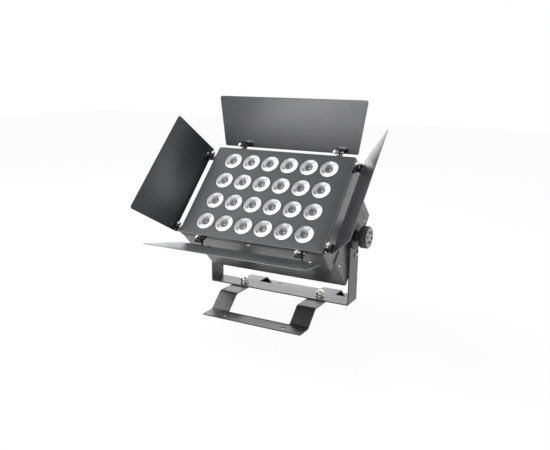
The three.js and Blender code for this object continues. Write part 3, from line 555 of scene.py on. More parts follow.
# %% Yoke
YOKE_HALF, BAR_HALF, BAR_SHEET, BEND = 186.0, 25.5, 2.8, 4.0
SLOT_RADIUS, SLOT_WIDTH, SLOT_FROM, SLOT_TO = 45.0, 9.0, radians(-4), radians(24)
STUD_RADIUS, BOLT_X, BOLT_RADIUS = 5.3, 104.0, 5.3
SEAT_GAP = 0.3
SIDES = {-1: "left", 1: "right"}


def arc_points(a, b, radius, start, end, steps=10):
    """(a + r cos t, b + r sin t) for t from start to end."""
    t = np.linspace(start, end, steps)
    return np.column_stack([a + radius * np.cos(t), b + radius * np.sin(t)])


def arc_slot():
    """A slot of constant width about the pivot, with round ends, in the arm's own width and height."""
    start, end, half = SLOT_FROM - pi / 2, SLOT_TO - pi / 2, SLOT_WIDTH / 2
    first, last = (SLOT_RADIUS * np.array([cos(t), sin(t)]) for t in (start, end))
    parts = [
        arc_points(0, 0, SLOT_RADIUS + half, start, end),
        arc_points(*last, half, end, end + pi, 9)[1:-1],
        arc_points(0, 0, SLOT_RADIUS - half, end, start),
        arc_points(*first, half, start + pi, start + 2 * pi, 9)[1:-1],
    ]
    return np.vstack(parts)


def yoke():
    """The blank's two ways are along the bar and across it, and the path is the U's outer face."""
    path, run = bent_path([(-YOKE_HALF, PIVOT_Z, 0), (-YOKE_HALF, 0, BEND),
                           (YOKE_HALF, 0, BEND), (YOKE_HALF, PIVOT_Z, 0)])
    length = run[-1]
    outline = np.vstack([
        arc_points(length, 0, BAR_HALF, -pi / 2, pi / 2, 25),
        arc_points(0, 0, BAR_HALF, pi / 2, 3 * pi / 2, 25),
    ])
    slot = arc_slot()
    slots = [np.column_stack([-slot[:, 1], slot[:, 0]]),
             np.column_stack([length + slot[:, 1], slot[:, 0]])[::-1]]
    pivots = [circle(0, 0, STUD_RADIUS), circle(length, 0, STUD_RADIUS)]
    bolts = [circle(length / 2 + side * BOLT_X, 0, BOLT_RADIUS) for side in (-1, 1)]
    folds = [((u, -BAR_HALF - 1), (u, BAR_HALF + 1)) for u in run[1:-1]]
    flat, faces = blank(outline, [*slots, *pivots, *bolts], folds)
    x, z = folded(path, run, flat[:, 0])
    beyond = np.where(flat[:, 0] < 0, -flat[:, 0], np.maximum(flat[:, 0] - length, 0))
    points = np.column_stack([x, flat[:, 1], z + beyond])
    outer = [(points, faces[:, ::-1].tolist())]
    sheet_piece("yoke_bar", "base", yoke_coat, on_stand, outer, BAR_SHEET, ["yoke"])
    print("yoke blank:", round(length), "mm along the bar,", len(faces), "triangles")


yoke()

# %% [markdown]
# ## The floor stand
# The stand is one sheet too: a frame with a large window, whose two straps are bent up so that their
# middles carry the yoke. The feet keep two holes each. The drawn face is the underside, painted near
# black and without gloss as painted shade, and Solidify gives the top and the rim the second finish.

# %% Stand
STAND_SHEET, STAND_HEIGHT, FOOT_HALF = 2.5, 37.8, 127.5
STRAP_INNER, TAB_Y, FOOT_INNER, FOOT_OUTER = 80.5, 75.5, 112.5, 154.0
FOOT_HOLE_X, FOOT_HOLE_Y, FOOT_HOLE = 76.0, 138.0, 4.5
STAND_BEND = 5.0


def floor_stand():
    """The path is the stand's lower face from the front foot to the rear. The blank's other way is X."""
    tab = STAND_HEIGHT - STAND_SHEET
    corners = [(-FOOT_OUTER, 0, 0), (-FOOT_INNER, 0, STAND_BEND), (-TAB_Y, tab, STAND_BEND)]
    corners += [(-y, z, r) for y, z, r in corners[::-1]]
    path, run = bent_path(corners)
    length = run[-1]
    foot = FOOT_OUTER - FOOT_INNER
    outline = rectangle(-FOOT_HALF, FOOT_HALF, 0, length, 3.5)
    window = rectangle(-STRAP_INNER, STRAP_INNER, foot, length - foot, 4)[::-1]
    hole_run = FOOT_OUTER - FOOT_HOLE_Y
    spots = [(side * FOOT_HOLE_X, run_at) for side in (-1, 1) for run_at in (hole_run, length - hole_run)]
    holes = [circle(x, u, FOOT_HOLE) for x, u in spots]
    holes += [circle(side * BOLT_X, length / 2, BOLT_RADIUS) for side in (-1, 1)]
    folds = [((-FOOT_HALF - 1, u), (FOOT_HALF + 1, u)) for u in run[1:-1]]
    flat, faces = blank(outline, [window, *holes], folds)
    y, z = folded(path, run, flat[:, 1])
    points = np.column_stack([flat[:, 0], y, z - STAND_HEIGHT - SEAT_GAP])
    stand = sheet_piece("floor_frame", "base", underside_shade_coat, on_stand,
                        [(points, faces[:, ::-1].tolist())], STAND_SHEET, ["floor_stand"])
    stand.data.materials.append(yoke_coat)
    wall = stand.modifiers["wall"]
    wall.material_offset = wall.material_offset_rim = 1
    print("stand blank:", round(length), "mm long,", len(faces), "triangles")


floor_stand()

# %% [markdown]
# ## Stand bolts and lock nuts
# The nuts are plated lock nuts: a hexagon with chamfered corners and a round collar on top, with the
# bolt's end in the middle. A chamfer is a cone that cuts the corners off, so the radius of each ring is
# the smaller of the hexagon's and the cone's.

# %% Nuts and bolts
NUT_FLATS, NUT_RISE, NUT_COLLAR, NUT_WASHER, WASHER_SHEET = 17.0, 10.0, 3.0, 10.0, 2.0
CORNER_SHARE = 1.1547
NUT_FLAT, NUT_CORNER = NUT_FLATS / 2, NUT_FLATS / 2 * CORNER_SHARE
BAR_TOP = BAR_SHEET + SEAT_GAP


def lock_nut(side, word):
    """Washer, chamfered hexagon and collar. The profile's radii are the cone that limits the hexagon."""
    base, top, bore = BAR_TOP + WASHER_SHEET, BAR_TOP + WASHER_SHEET + NUT_RISE, BOLT_RADIUS
    washer = turned("z", [(bore, BAR_TOP), (NUT_WASHER - 0.3, BAR_TOP), (NUT_WASHER, BAR_TOP + 0.3),
                          (NUT_WASHER, base - 0.3), (NUT_WASHER - 0.3, base), (bore, base), (bore, BAR_TOP)])
    collar = top - NUT_COLLAR
    body = turned("z", [(bore, base), (NUT_FLAT + 0.2, base), (NUT_CORNER, base + 0.7),
                        (NUT_CORNER, collar - 0.9), (NUT_FLAT + 0.1, collar), (bore, collar), (bore, base)],
                  72, hexagon(NUT_FLATS))
    crown = turned("z", [(bore, collar), (NUT_FLAT - 0.4, collar), (NUT_FLAT - 0.4, top - 0.9),
                         (NUT_FLAT - 1.2, top), (6.0, top), (bore, top - 0.7), (bore, collar)])
    shells = [moved(part, side * BOLT_X, 0, 0) for part in (washer, body, crown)]
    piece(f"lock_nut_{word}", "base", chrome, on_stand, shells, [f"stand_nut_{word}"])


def stand_bolt(side, word):
    """A hexagon head under the tab, and a shank with a chamfered end."""
    top = -SEAT_GAP - STAND_SHEET - SEAT_GAP
    head = turned("z", [(0, top - 6.4), (NUT_FLAT - 0.6, top - 6.4), (NUT_CORNER, top - 5.4),
                        (NUT_CORNER, top - 0.4), (NUT_FLAT, top), (0, top)], 72, hexagon(NUT_FLATS))
    end = BAR_TOP + WASHER_SHEET + NUT_RISE + 1.5
    shank = turned("z", [(0, top - 1), (5, top - 1), (5, end - 1), (4.2, end), (0, end)])
    shells = [moved(part, side * BOLT_X, 0, 0) for part in (head, shank)]
    piece(f"frame_bolt_{word}", "base", zinc, on_stand, shells, [f"stand_bolt_{word}"])


for side, word in SIDES.items():
    lock_nut(side, word)
    stand_bolt(side, word)

# %% [markdown]
# ## The front plate
# The face is a flat blank with a hole for each lens. Its rim is the same outline carried round a small
# bend and then straight back, so the corners stay round all the way down.

# %% Front plate
COLUMNS_X = (np.arange(6) - 2.5) * 50.0
ROWS_Z = (1.5 - np.arange(4)) * 57.8
LENS_RADIUS, RIM_DEPTH, RIM_SHEET, RIM_BEND = 22.5, 12.5, 1.5, 1.6


def front_plate():
    """Bend: inset R(1 - sin t), depth R(1 - cos t), for t from 0 to a quarter turn. Then the wall."""
    t = np.linspace(0, pi / 2, 5)
    rows = [(RIM_BEND * (1 - sin(a)), RIM_BEND * (1 - cos(a))) for a in t] + [(0, RIM_DEPTH)]
    loops = [rectangle(-HALF_X + b, HALF_X - b, -HALF_Z + b, HALF_Z - b, 6 - b, 8) for b, _ in rows]
    walls = [stacked("xz", loop[:, 0], loop[:, 1], depth) for loop, (_, depth) in zip(loops, rows)]
    rim_points, rim_faces = shell(np.array(walls))
    holes = [circle(x, z, LENS_RADIUS + 0.3, 48) for x in COLUMNS_X for z in ROWS_Z]
    flat, faces = blank(loops[0], holes)
    face = stacked("xz", flat[:, 0], flat[:, 1], 0.0)
    shells = [(face, faces.tolist()), (rim_points, rim_faces)]
    sheet_piece("face_plate", "head", face_coat, on_panel, shells, RIM_SHEET,
                ["front_plate"], 0.2)
    print("front plate:", len(faces), "triangles round", len(holes), "holes")


front_plate()

# %% [markdown]
# ## The lenses
# Each lens is a clear moulded disc with a mirrored cone inside. It looks like a bright shallow cup with
# rings round a dark chip, wherever it's seen from, so a shallow cup stands for it. The rings and the
# cone's slope are kept in a UV map: U is the share of the radius and V the share of a turn. The finish
# reads them, bends the normal by the cone's height and gives each ring its tone as painted reflection,
# white where the cone mirrors the bright room, with a dark lip at the rim as painted shadow. A painted
# veil of shade on the upper side, a painted glint and a few painted dark arcs stand for what the real
# cone mirrors.

# %% Lens finish
def lens_finish():
    """Height grows with a power of the radius share, so a bump acts as a deep cone. Rings vary in tone as
    painted reflection and shadow.
    """
    paint = Paint("lens_clear")
    place = paint.add("ShaderNodeUVMap", {"uv_map": "rings"}, out="UV")
    share, around = paint.split(place, "X"), paint.split(place, "Y")
    # Painted reflection in the ring tones, from the dark chip out to the white cone, and a painted shadow on
    # the lip at the rim.
    stops = [(0.0, 16), (0.08, 18), (0.11, 110), (0.16, 80), (0.19, 22), (0.26, 44), (0.31, 130),
             (0.36, 50), (0.41, 104), (0.47, 214), (0.6, 246), (0.7, 250), (0.925, 250), (0.95, 120),
             (0.97, 46), (1.0, 40)]
    rings = paint.ramp(share, [(spot, tone(level, level, level + 2)) for spot, level in stops])
    # Painted shade: a grey veil over the upper side, broken up by noise.
    shade_noise = (paint.noise(700) - 0.5) * 0.3
    shade_veil = paint.band(share, 0.5, 0.3) * paint.band(around, 0.77, 0.17) + shade_noise
    shade_veiled = paint.blend(paint.step(shade_veil, 0.0, 0.95), rings, tone(84, 84, 88))
    # Painted highlight: a white glint beside the chip.
    glint = paint.band(share, 0.14, 0.06) * paint.band(around, 0.42, 0.14)
    glinting = paint.blend(paint.step(glint, 0.1, 0.6), shade_veiled, tone(250, 250, 250))
    # Painted reflections: dark arcs on one side and a faint dark streak.
    arcs = (paint.band(share, 0.55, 0.06) + paint.band(share, 0.70, 0.06)) * paint.band(around, 0.10, 0.09)
    spots = arcs + paint.band(share, 0.72, 0.16) * paint.band(around, 0.67, 0.03) * 0.4
    base = paint.blend(paint.step(spots, 0.05, 0.35), glinting, tone(30, 31, 34))
    rough, height = paint.step(share, 1.3, 0.0) * 0.2 + 0.12, paint.math("POWER", share, 1.6)
    return paint.finish(base_color=base, roughness=rough, coat_weight=0.3, coat_roughness=0.05,
                        normal=paint.bump(height, 1.0, 0.009))


lens_clear = lens_finish()

# %% Lens rows
CUP_RADIUS, CUP_DEPTH, CUP_RIM, CONE_BACK = 21.2, 2.2, 0.7, 22
CHIP_HALF, CHIP_EDGE = 1.9, 0.15


def cup_profile():
    """Depth d(1 - (r/R)^2) with a ripple of three rings added to it."""
    share = np.linspace(1, 0, 26)
    depth = CUP_RIM + CUP_DEPTH * (1 - share**2) + 0.12 * np.sin(share * 7 * pi) * share
    return np.column_stack([CUP_RADIUS * share, depth]).tolist()


def lens_row(index):
    """Lip, shallow cup and a plain cone behind, as one closed profile turned about the lens's axis."""
    profile = cup_profile()[::-1]
    profile += [(21.4, 0.5), (21.7, 0.4), (22.2, 0.4), (LENS_RADIUS, CUP_RIM), (LENS_RADIUS, 5.3),
                (8, CONE_BACK), (0, CONE_BACK)]
    cups, chips, z, front = [], [], ROWS_Z[index], CUP_RIM + CUP_DEPTH
    for x in COLUMNS_X:
        cups.append(moved(turned("y", profile, 64), x, 0, z))
        square = rectangle(x - CHIP_HALF, x + CHIP_HALF, z - CHIP_HALF, z + CHIP_HALF, CHIP_EDGE, 3)
        chips.append(slab("xz", square, front - 0.5, front + 0.3, CHIP_EDGE))
    cup = piece(f"lens_cups_{index + 1}", "head", lens_clear, on_panel, cups,
                [f"lens_row_{index + 1}"], sharp=50)
    ring_map(cup.data, z)
    piece(f"light_chips_{index + 1}", "head", chip_dark, on_panel, chips)


def ring_map(mesh, row_z):
    """U is the distance from the nearest lens's axis over its radius. V is the angle about that axis over
    a whole turn."""
    spots = np.empty(3 * len(mesh.vertices))
    mesh.vertices.foreach_get("co", spots)
    corners = np.empty(len(mesh.loops), int)
    mesh.loops.foreach_get("vertex_index", corners)
    flat = off_panel(spots.reshape(-1, 3))[corners]
    middle = COLUMNS_X[np.abs(flat[:, :1] - COLUMNS_X).argmin(1)]
    a, b = flat[:, 0] - middle, flat[:, 2] - row_z
    share = np.minimum(np.hypot(a, b) / LENS_RADIUS, 1)
    layer = mesh.uv_layers.new(name="rings")
    layer.uv.foreach_set("vector", np.column_stack([share, np.arctan2(b, a) / (2 * pi) + 0.5]).ravel())


for index in range(4):
    lens_row(index)
print("lenses:", len(COLUMNS_X) * len(ROWS_Z))

# %% [markdown]
# ## The casings
# Behind the plate is a shallow tray, and behind that a deeper one that is lower and carries the pivot.
# Each is a closed profile carried round a rounded rectangle. The rear tray's sides have a band sunk in
# by a millimetre, so its outline steps in and out again.

# %% Casings
FRONT_BACK, REAR_FRONT, REAR_BACK = 78.0, 78.3, 174.3
TRAY_INSET, TRAY_FRONT, TRAY_OPENING, TRAY_SHEET = 1.8, 2.3, 92, 1.5
REAR_TOP, REAR_BOTTOM, BAND_TOP, BAND_BOTTOM, BAND_DEPTH = 90.0, -107.0, 64.0, -74.0, 1
REAR_WALL, REAR_FLANGE, REAR_SHEET = 2.5, 14, 1.5


def tray(name, loops, node):
    """A painted casing of the head from its carried profile."""
    piece(name, "head", casing_coat, on_panel, [carried("xz", loops)], [node])


def front_casing():
    """Outer wall, rounded back edge, back wall with an opening, and the inner wall back to the front."""
    out_x, out_z, inner = HALF_X - TRAY_INSET, HALF_Z - TRAY_INSET, FRONT_BACK - TRAY_SHEET
    rows = [(0, TRAY_FRONT), (0, FRONT_BACK - 1.2), (0.35, FRONT_BACK - 0.35), (1.2, FRONT_BACK),
            (TRAY_OPENING, FRONT_BACK), (TRAY_OPENING, inner), (TRAY_SHEET, inner), (TRAY_SHEET, TRAY_FRONT)]
    loops = [(rectangle(-out_x + b, out_x - b, -out_z + b, out_z - b, max(3.5 - b, 0.6)), y) for b, y in rows]
    tray("front_tray", loops, "front_casing")


def rear_outline(b):
    """The rear casing's section, inset by b, with the sunk bands in its sides."""
    x, sunk, r = HALF_X - b, HALF_X - BAND_DEPTH - b, max(4 - b, 0.6)
    low, high = BAND_BOTTOM + 0.6, BAND_TOP - 0.6
    corners = [(-x, REAR_BOTTOM + b, r), (x, REAR_BOTTOM + b, r), (x, BAND_BOTTOM, 0.4), (sunk, low, 0.4),
               (sunk, high, 0.4), (x, BAND_TOP, 0.4), (x, REAR_TOP - b, r), (-x, REAR_TOP - b, r),
               (-x, BAND_TOP, 0.4), (-sunk, high, 0.4), (-sunk, low, 0.4), (-x, BAND_BOTTOM, 0.4)]
    return rounded(corners, 5)


def rear_casing():
    """Front flange, outer wall and inner wall, carried round the section."""
    inner = REAR_FRONT + REAR_SHEET
    rows = [(REAR_FLANGE, REAR_FRONT), (0.5, REAR_FRONT), (0, REAR_FRONT + 0.5), (0, REAR_BACK - 0.3),
            (0.3, REAR_BACK), (REAR_WALL, REAR_BACK), (REAR_WALL, inner), (REAR_FLANGE, inner)]
    tray("rear_tray", [(rear_outline(b), y) for b, y in rows], "rear_casing")


front_casing()
rear_casing()

# %% [markdown]
# ## Screws
# Small pan-head screws hold the casings. Their heads are domes with a round pit at the top, and two
# hundred faces each are enough. A place and a direction put them on the sides and under the casing.

# %% Screws
def screw_head(radius, rise):
    """A dome turned about Z: radius R sin t, height 0.85 h cos t, with a small round pit at the top."""
    t = np.linspace(pi / 2, 0.25, 7)
    dome = [(radius * sin(a), rise * cos(a) * 0.85) for a in t]
    return turned("z", [(0, -0.4), (radius, -0.4), *dome, (0.8, rise * 0.62), (0, rise * 0.45)], 20)


def screws(name, spots, coat, body, place, radius, rise, stands_for=()):
    """Heads at places, each facing along its own direction: its Z axis is turned onto that direction."""
    shells = []
    for spot, facing in spots:
        normal = np.array(facing, float)
        side = np.cross(normal, [0.3, 0.5, 0.81])
        side /= np.linalg.norm(side)
        axes = np.array([side, np.cross(normal, side), normal])
        points, faces = screw_head(radius, rise)
        shells.append((points @ axes + np.array(spot, float), faces))
    piece(name, body, coat, place, shells, stands_for)


under = [((-2.5, 17, -HALF_Z + 1.7), (0, 0, -1))]
screws("flange_screw", under, zinc, "head", on_panel, 4, 2.4, ["casing_screw"])
side_spots = [(106, -95.5), (168, -76), (163, 61), (100, 78)]
sides = [((s * (HALF_X - BAND_DEPTH * (BAND_BOTTOM < z < BAND_TOP)), y, z), (s, 0, 0))
         for s in SIDES for y, z in side_spots]
screws("side_screws", sides, zinc, "head", on_panel, 3.0, 1.6)
print("screws:", len(under) + len(sides))

# %% [markdown]
# ## The pivot
# A washer, the yoke's arm, a broad friction disc and a clamp knob sit on one bolt. The knob is a grip
# with fine flutes: its radius dips by a share of a cosine raised to a power, and the dip fades out
# towards both ends of the grip.

# %% Knobs, discs and washers
ARM_OUT, DISC_OUT, DISC_RADIUS = 186.3, 189.8, 30.0
BUSH_IN, BUSH_OUT, BUSH_RADIUS = 179.3, 182.9, 15.0
KNOB_IN, GRIP_IN, GRIP_OUT = 190.1, 201.6, 221.6
NECK_RADIUS, GRIP_RADIUS, FACE_RADIUS, FLUTES, FLUTE_DEPTH = 13.0, 25.4, 20.8, 32, 1.5
POCKETS, POCKET_CIRCLE, POCKET_RADIUS, POCKET_DEPTH = 6, 12.5, 4.2, 6.0


def grip():
    """Radius R(x) - d(x)(1 - |cos(nt/2)|^0.7): round ribs with narrow valleys, fading at both ends."""
    t = np.linspace(0, 2 * pi, FLUTES * 8, endpoint=False)[None, :]
    table = np.array([(NECK_RADIUS, 0, 0), (22.5, 0, 0), (24.4, 0.8, 0.3), (GRIP_RADIUS, 2.4, 1),
                      (GRIP_RADIUS, 8, 1), (GRIP_RADIUS, 15.5, 1), (24.6, 17.4, 0.7), (23.4, 17.8, 0),
                      (23.4, 18.6, 0), (23.0, 19.0, 0), (FACE_RADIUS, 19.0, 0)])
    radius, place, fade = table.T[:, :, None]
    valley = 1 - np.abs(np.cos(FLUTES * t / 2)) ** 0.7
    r = radius - FLUTE_DEPTH * fade * valley
    return shell(stacked("yz", r * np.cos(t), r * np.sin(t), GRIP_IN + place * np.ones_like(t)))


def knob(side, word):
    """Neck rings, the fluted grip, and a face painted pale as a painted reflection, with round pockets lined
    in black as painted shade, whose floor lies behind it.
    """
    bore, wide, face = STUD_RADIUS, NECK_RADIUS, GRIP_OUT - 1.0
    neck = turned("x", [(bore, KNOB_IN), (11.5, KNOB_IN), (wide, KNOB_IN + 0.8), (wide, KNOB_IN + 3.4),
                        (11.8, KNOB_IN + 4), (11.8, KNOB_IN + 6.4), (wide, KNOB_IN + 7), (wide, GRIP_IN),
                        (bore, GRIP_IN), (bore, KNOB_IN)])
    pockets = [circle(POCKET_CIRCLE * cos(a), POCKET_CIRCLE * sin(a), POCKET_RADIUS, 20)
               for a in np.arange(POCKETS) * 2 * pi / POCKETS + pi / 2]
    flat, faces = blank(circle(0, 0, FACE_RADIUS, FLUTES * 8), pockets)
    front = (stacked("yz", flat[:, 0], flat[:, 1], face), faces.tolist())
    walls = [shell(np.array([stacked("yz", loop[:, 0], loop[:, 1], x) for x in (face, face - POCKET_DEPTH)]))
             for loop in pockets]
    floors = [(stacked("yz", loop[:, 0], loop[:, 1], face - POCKET_DEPTH), [list(range(len(loop)))])
              for loop in pockets]
    back = turned("x", [(bore, GRIP_IN), (wide, GRIP_IN)])
    socket = turned("x", [(bore, GRIP_IN), (bore, GRIP_IN + 12), (0, GRIP_IN + 12)])
    thing = piece(f"knob_grip_{word}", f"knob_{word}", knob_plastic, on_pivot(side),
                  [neck, front, grip(), back, socket], [f"clamp_knob_{word}"], sharp=40)
    # Painted shade: the pockets' walls and floors are darker plastic for the shade inside them.
    piece(f"knob_pocket_shade_{word}", f"knob_{word}", black_plastic, on_pivot(side),
          [*walls, *floors])
    shine_face(thing, side, face)


def shine_face(thing, side, face):
    """Gives the second finish, a painted reflection in pale grey, to the faces whose middle lies on the
    knob's flat face or outer lip.
    """
    thing.data.materials.append(knob_face_shine)
    middles = np.empty(3 * len(thing.data.polygons))
    thing.data.polygons.foreach_get("center", middles)
    chosen = middles.reshape(-1, 3)[:, 0] * side * 1000 > face - 0.05
    thing.data.polygons.foreach_set("material_index", chosen.astype(int))


def disc(name, body, inner, outer, radius, side, stands_for):
    """A ring with softened rims, turned about the pivot."""
    bore, edge = STUD_RADIUS, 0.6
    profile = [(bore, inner), (radius - edge, inner), (radius, inner + edge), (radius, outer - edge),
               (radius - edge, outer), (bore, outer), (bore, inner)]
    piece(name, body, black_plastic, on_pivot(side), [turned("x", profile, 64)], stands_for)


for side, word in SIDES.items():
    knob(side, word)
    disc(f"pad_{word}", "base", ARM_OUT, DISC_OUT, DISC_RADIUS, side, [f"friction_disc_{word}"])
    disc(f"bush_{word}", "head", BUSH_IN, BUSH_OUT, BUSH_RADIUS, side, [f"pivot_washer_{word}"])
print("knob flutes:", FLUTES)

# %% [markdown]
# ## Barn doors
# Each leaf is a thin plate that widens away from the panel. An ear joins it to each hinge bolt: a
# tongue between the two sides of a fork, a flange bent from it behind the nut, and a base plate on the
# leaf, with a screw. The plate is an outline with softened rims, because a thin edge catches the
# light, and its coat paints those rims paler as a painted highlight. Each leaf has a tone of its own
# as painted light and shade, and two of the screws are painted bright as painted highlights, as they
# look in the picture.

# %% Doors
EAR_SHEET, EAR_RADIUS, FORK_SIDE, FORK_GAP = 1.5, 4.5, 3.5, 2.0
LEAF_SHEET, BASE_SHEET, EAR_REACH, FLANGE_FRONT = 1.2, 0.8, 16, 5.4
NUT_SEAT, NUT_END, DOME_NECK, DOME_PLACE = 3.8, 8.3, 11.3, 14.3
HEX_FLAT, HEX_CORNER = 4.3, 4.97
BALL_PLACE, BALL_RADIUS = 13.6, 5.0
WIDE = dict(half=(175.2, 193.5), tip=116.7, setback=4.2, off=16.0, spread=124.7)
SIDE = dict(half=(120.7, 136.5), tip=118.0, setback=3.4, off=12.0, spread=104.0)
DOORS = {
    "top": dict(WIDE, turn=0.0, out=HALF_Z, angle=radians(43), dome=-1, shift=0.0),
    "bottom": dict(WIDE, turn=pi, out=HALF_Z, angle=radians(55.7), dome=1, shift=-7.5),
    "left": dict(SIDE, turn=-pi / 2, out=HALF_X, angle=radians(61.9), dome=1, shift=0.0),
    "right": dict(SIDE, turn=pi / 2, out=HALF_X, angle=radians(54.3), dome=-1, shift=0.0),
}


def hinge_places(door):
    """The middles of a door's two hinges along its X. The domes stand evenly, the hinges beside them."""
    return [end * door["spread"] - door["dome"] * DOME_PLACE for end in (-1, 1)]


def leaf_plate(door):
    """A plate 1.2 mm thick whose two long edges lie inside and outside the hinge line."""
    (inner, outer), shift = door["half"], door["shift"]
    corners = [(shift - inner, -door["setback"], 4), (shift + inner, -door["setback"], 4),
               (shift + outer, door["tip"], 8), (shift - outer, door["tip"], 8)]
    return slab("xz", rounded(corners, 10), door["off"], door["off"] + LEAF_SHEET, 0.3, 4)


def along_dome(door, x, near, far):
    """Two places measured from the hinge's middle towards its dome, lower one first."""
    return sorted((x + door["dome"] * near, x + door["dome"] * far))


def door_ear(door, x):
    """Tongue and flange. The tongue's outline is a circle about the axis joined to the leaf."""
    root, top, half = door["off"] + 0.6, FLANGE_FRONT + EAR_SHEET, EAR_SHEET / 2
    edge = [(0, -EAR_RADIUS), (root, -door["setback"]), (root, 1.4), (10.75, 1.4), (10, top), (4, top)]
    tongue = np.vstack([edge, arc_points(0, 0, EAR_RADIUS, pi / 2, 3 * pi / 2 - 0.2, 12)])
    bent = rectangle(*along_dome(door, x, -half, EAR_REACH), FLANGE_FRONT, top, 0.4, 3)
    return [slab("yz", tongue, x - half, x + half, 0.2), slab("xz", bent, 4, 10, 0.3)]


def ear_base(door, x, reach):
    """The thin plate the ear is welded to, from the ear's end to its own reach beyond the tongue."""
    outline = rectangle(*along_dome(door, x, -reach, EAR_REACH), 1, 12, 1.5)
    return slab("xz", outline, door["off"] - BASE_SHEET, door["off"] + 0.1, 0.2)


def leaf_screws(door, away):
    """A screw head on each base plate, facing the panel, away from the hinge's middle."""
    places = [x - door["dome"] * away for x in hinge_places(door)]
    return [((x, door["off"] - BASE_SHEET, 6.5), (0, -1, 0)) for x in places]


# Painted highlights: two leaf screws get the near-white finish, the rest stay black.
SCREW_GLINTS = {"bottom_1": white_shine, "left_2": white_shine}
# Painted light: one black coat in four lit and shaded tones, the right leaf painted darkest as shade.
LEAF_LIGHT_TONES = {"top": (50, 51, 57), "bottom": (50, 51, 54), "left": (46, 49, 56), "right": (24, 24, 27)}
# How far each leaf's base plates reach beyond the tongue, and how far from it their screws are.
BASES = {"top": (14, 9), "bottom": (27, 22), "left": (1.5, -11), "right": (1.5, -11)}
for word, door in DOORS.items():
    swung = on_hinge(door, door["angle"])
    square = swung(np.array([[0, 1, 0]])) - swung(np.zeros((1, 3)))
    # The leaf coat paints the leaf's rims paler as a painted highlight.
    coat = powder_coat(f"leaf_coat_{word}", LEAF_LIGHT_TONES[word], 0.32, flat=(square[0] * 1000).tolist())
    piece(f"leaf_{word}", f"door_{word}", coat, swung, [leaf_plate(door)], [f"door_{word}"])
    ears = [part for x in hinge_places(door) for part in door_ear(door, x)]
    piece(f"ears_{word}", f"door_{word}", hinge_black, swung, ears)
    reach, away = BASES[word]
    bases = [ear_base(door, x, reach) for x in hinge_places(door)]
    piece(f"ear_bases_{word}", f"door_{word}", ear_coat, swung, bases)
    for number, spot in enumerate(leaf_screws(door, away), 1):
        head = SCREW_GLINTS.get(f"{word}_{number}", hinge_black)
        screws(f"leaf_screw_{word}_{number}", [spot], head, f"door_{word}", swung, 3.4, 1.9)
print("doors:", list(DOORS))

# %% [markdown]
# ## Hinges
# A fork on the panel's rim holds each bolt. The bolt carries a plain nut and a dome nut, whose ball is
# painted near white as a painted reflection of its chrome and marks each corner of the light. The ball
# is a piece of its own, because the hexagons are duller steel. The bolts and their hexagons get a
# lighter copy of the steel on the right, apart from the right leaf's upper hinge, as painted light, so
# there are two tones.

# %% Hinge brackets and bolts
def hinge_bracket(door, x):
    """A foot on the rim and two sides that widen from the hinge's round end to the foot."""
    low = -HINGE_OUT + 0.3
    front, back, top = HINGE_FORWARD + 0.3, HINGE_FORWARD + 9.3, low + EAR_SHEET
    foot = slab("xy", rectangle(*along_dome(door, x, -3.5, 9), front, back, 1), low, top, 0.25)
    side = np.vstack([[(back, top - 0.4), (EAR_RADIUS, 0)], arc_points(0, 0, EAR_RADIUS, 0.1, pi - 0.1, 12),
                      [(-EAR_RADIUS, 0), (front, top - 0.4)]])
    sides = [slab("yz", side, x + near, x + near + EAR_SHEET, 0.2) for near in (-FORK_SIDE, FORK_GAP)]
    return [foot, *sides]


def at_hinge(door, x, shells):
    """Turns a bolt's parts towards the dome's side and moves them to the hinge."""
    return [(points * [door["dome"], door["dome"], 1] + [x, 0, 0], faces) for points, faces in shells]


def dome_ball():
    """A ball cut off behind: r = R cos t, place = centre + R sin t, with t from -60 degrees."""
    t = np.linspace(-pi / 3, pi / 2, 20)
    ball = [(BALL_RADIUS * cos(a), BALL_PLACE + BALL_RADIUS * sin(a)) for a in t]
    return [turned("x", [(0, ball[0][1]), *ball], 48)]


def bolt_and_nuts():
    """A round head, the shank through the fork, a plain nut and the dome nut's own hexagon."""
    seat = -FORK_SIDE - 0.3
    t = np.linspace(pi / 2, 0, 8)
    head = [(3.8 * sin(a), seat - 1.2 - 2.8 * cos(a)) for a in t[::-1]] + [(3.8, seat), (0, seat)]
    nut = [(0, NUT_SEAT), (HEX_FLAT, NUT_SEAT), (HEX_CORNER, NUT_SEAT + 0.6), (HEX_CORNER, NUT_END - 0.6),
           (HEX_FLAT, NUT_END), (0, NUT_END)]
    cap = [(0, NUT_END), (HEX_FLAT, NUT_END), (HEX_CORNER, NUT_END + 0.5), (4.6, DOME_NECK - 0.6),
           (3.2, DOME_NECK), (0, DOME_NECK)]
    shank = [(0, seat - 0.5), (2.5, seat - 0.5), (2.5, NUT_END), (0, NUT_END)]
    hexagons = [turned("x", profile, 72, hexagon(2 * HEX_FLAT)) for profile in (nut, cap)]
    return [turned("x", head, 36), *hexagons, turned("x", shank, 24)]


for word, door in DOORS.items():
    seat = on_hinge(door, 0.0)
    for number, x in enumerate(hinge_places(door), 1):
        piece(f"bracket_{word}_{number}", "head", hinge_black, seat, hinge_bracket(door, x),
              [f"hinge_bracket_{word}_{number}"])
        piece(f"dome_nut_{word}_{number}", "head", white_shine, seat,
              at_hinge(door, x, dome_ball()), [f"hinge_bolt_{word}_{number}"])
        middle = seat(np.array([[x, 0, 0]]))[0]
        # Painted light: bolts on the lit right side get the lighter steel, the rest the shaded one.
        lit_side = middle[0] > 0.1 and (word != "right" or middle[2] < 0.25)
        metal = lit_steel if lit_side else shaded_steel
        piece(f"bolt_{word}_{number}", "head", metal, seat, at_hinge(door, x, bolt_and_nuts()))
print("hinges:", 2 * len(DOORS))

# %% [markdown]
# ## The rear
# The back isn't in the picture, so it gets what such a light has: a fan behind a slotted grille, vents,
# a small display with four buttons, data and power sockets and a fuse. It's one flat blank again.

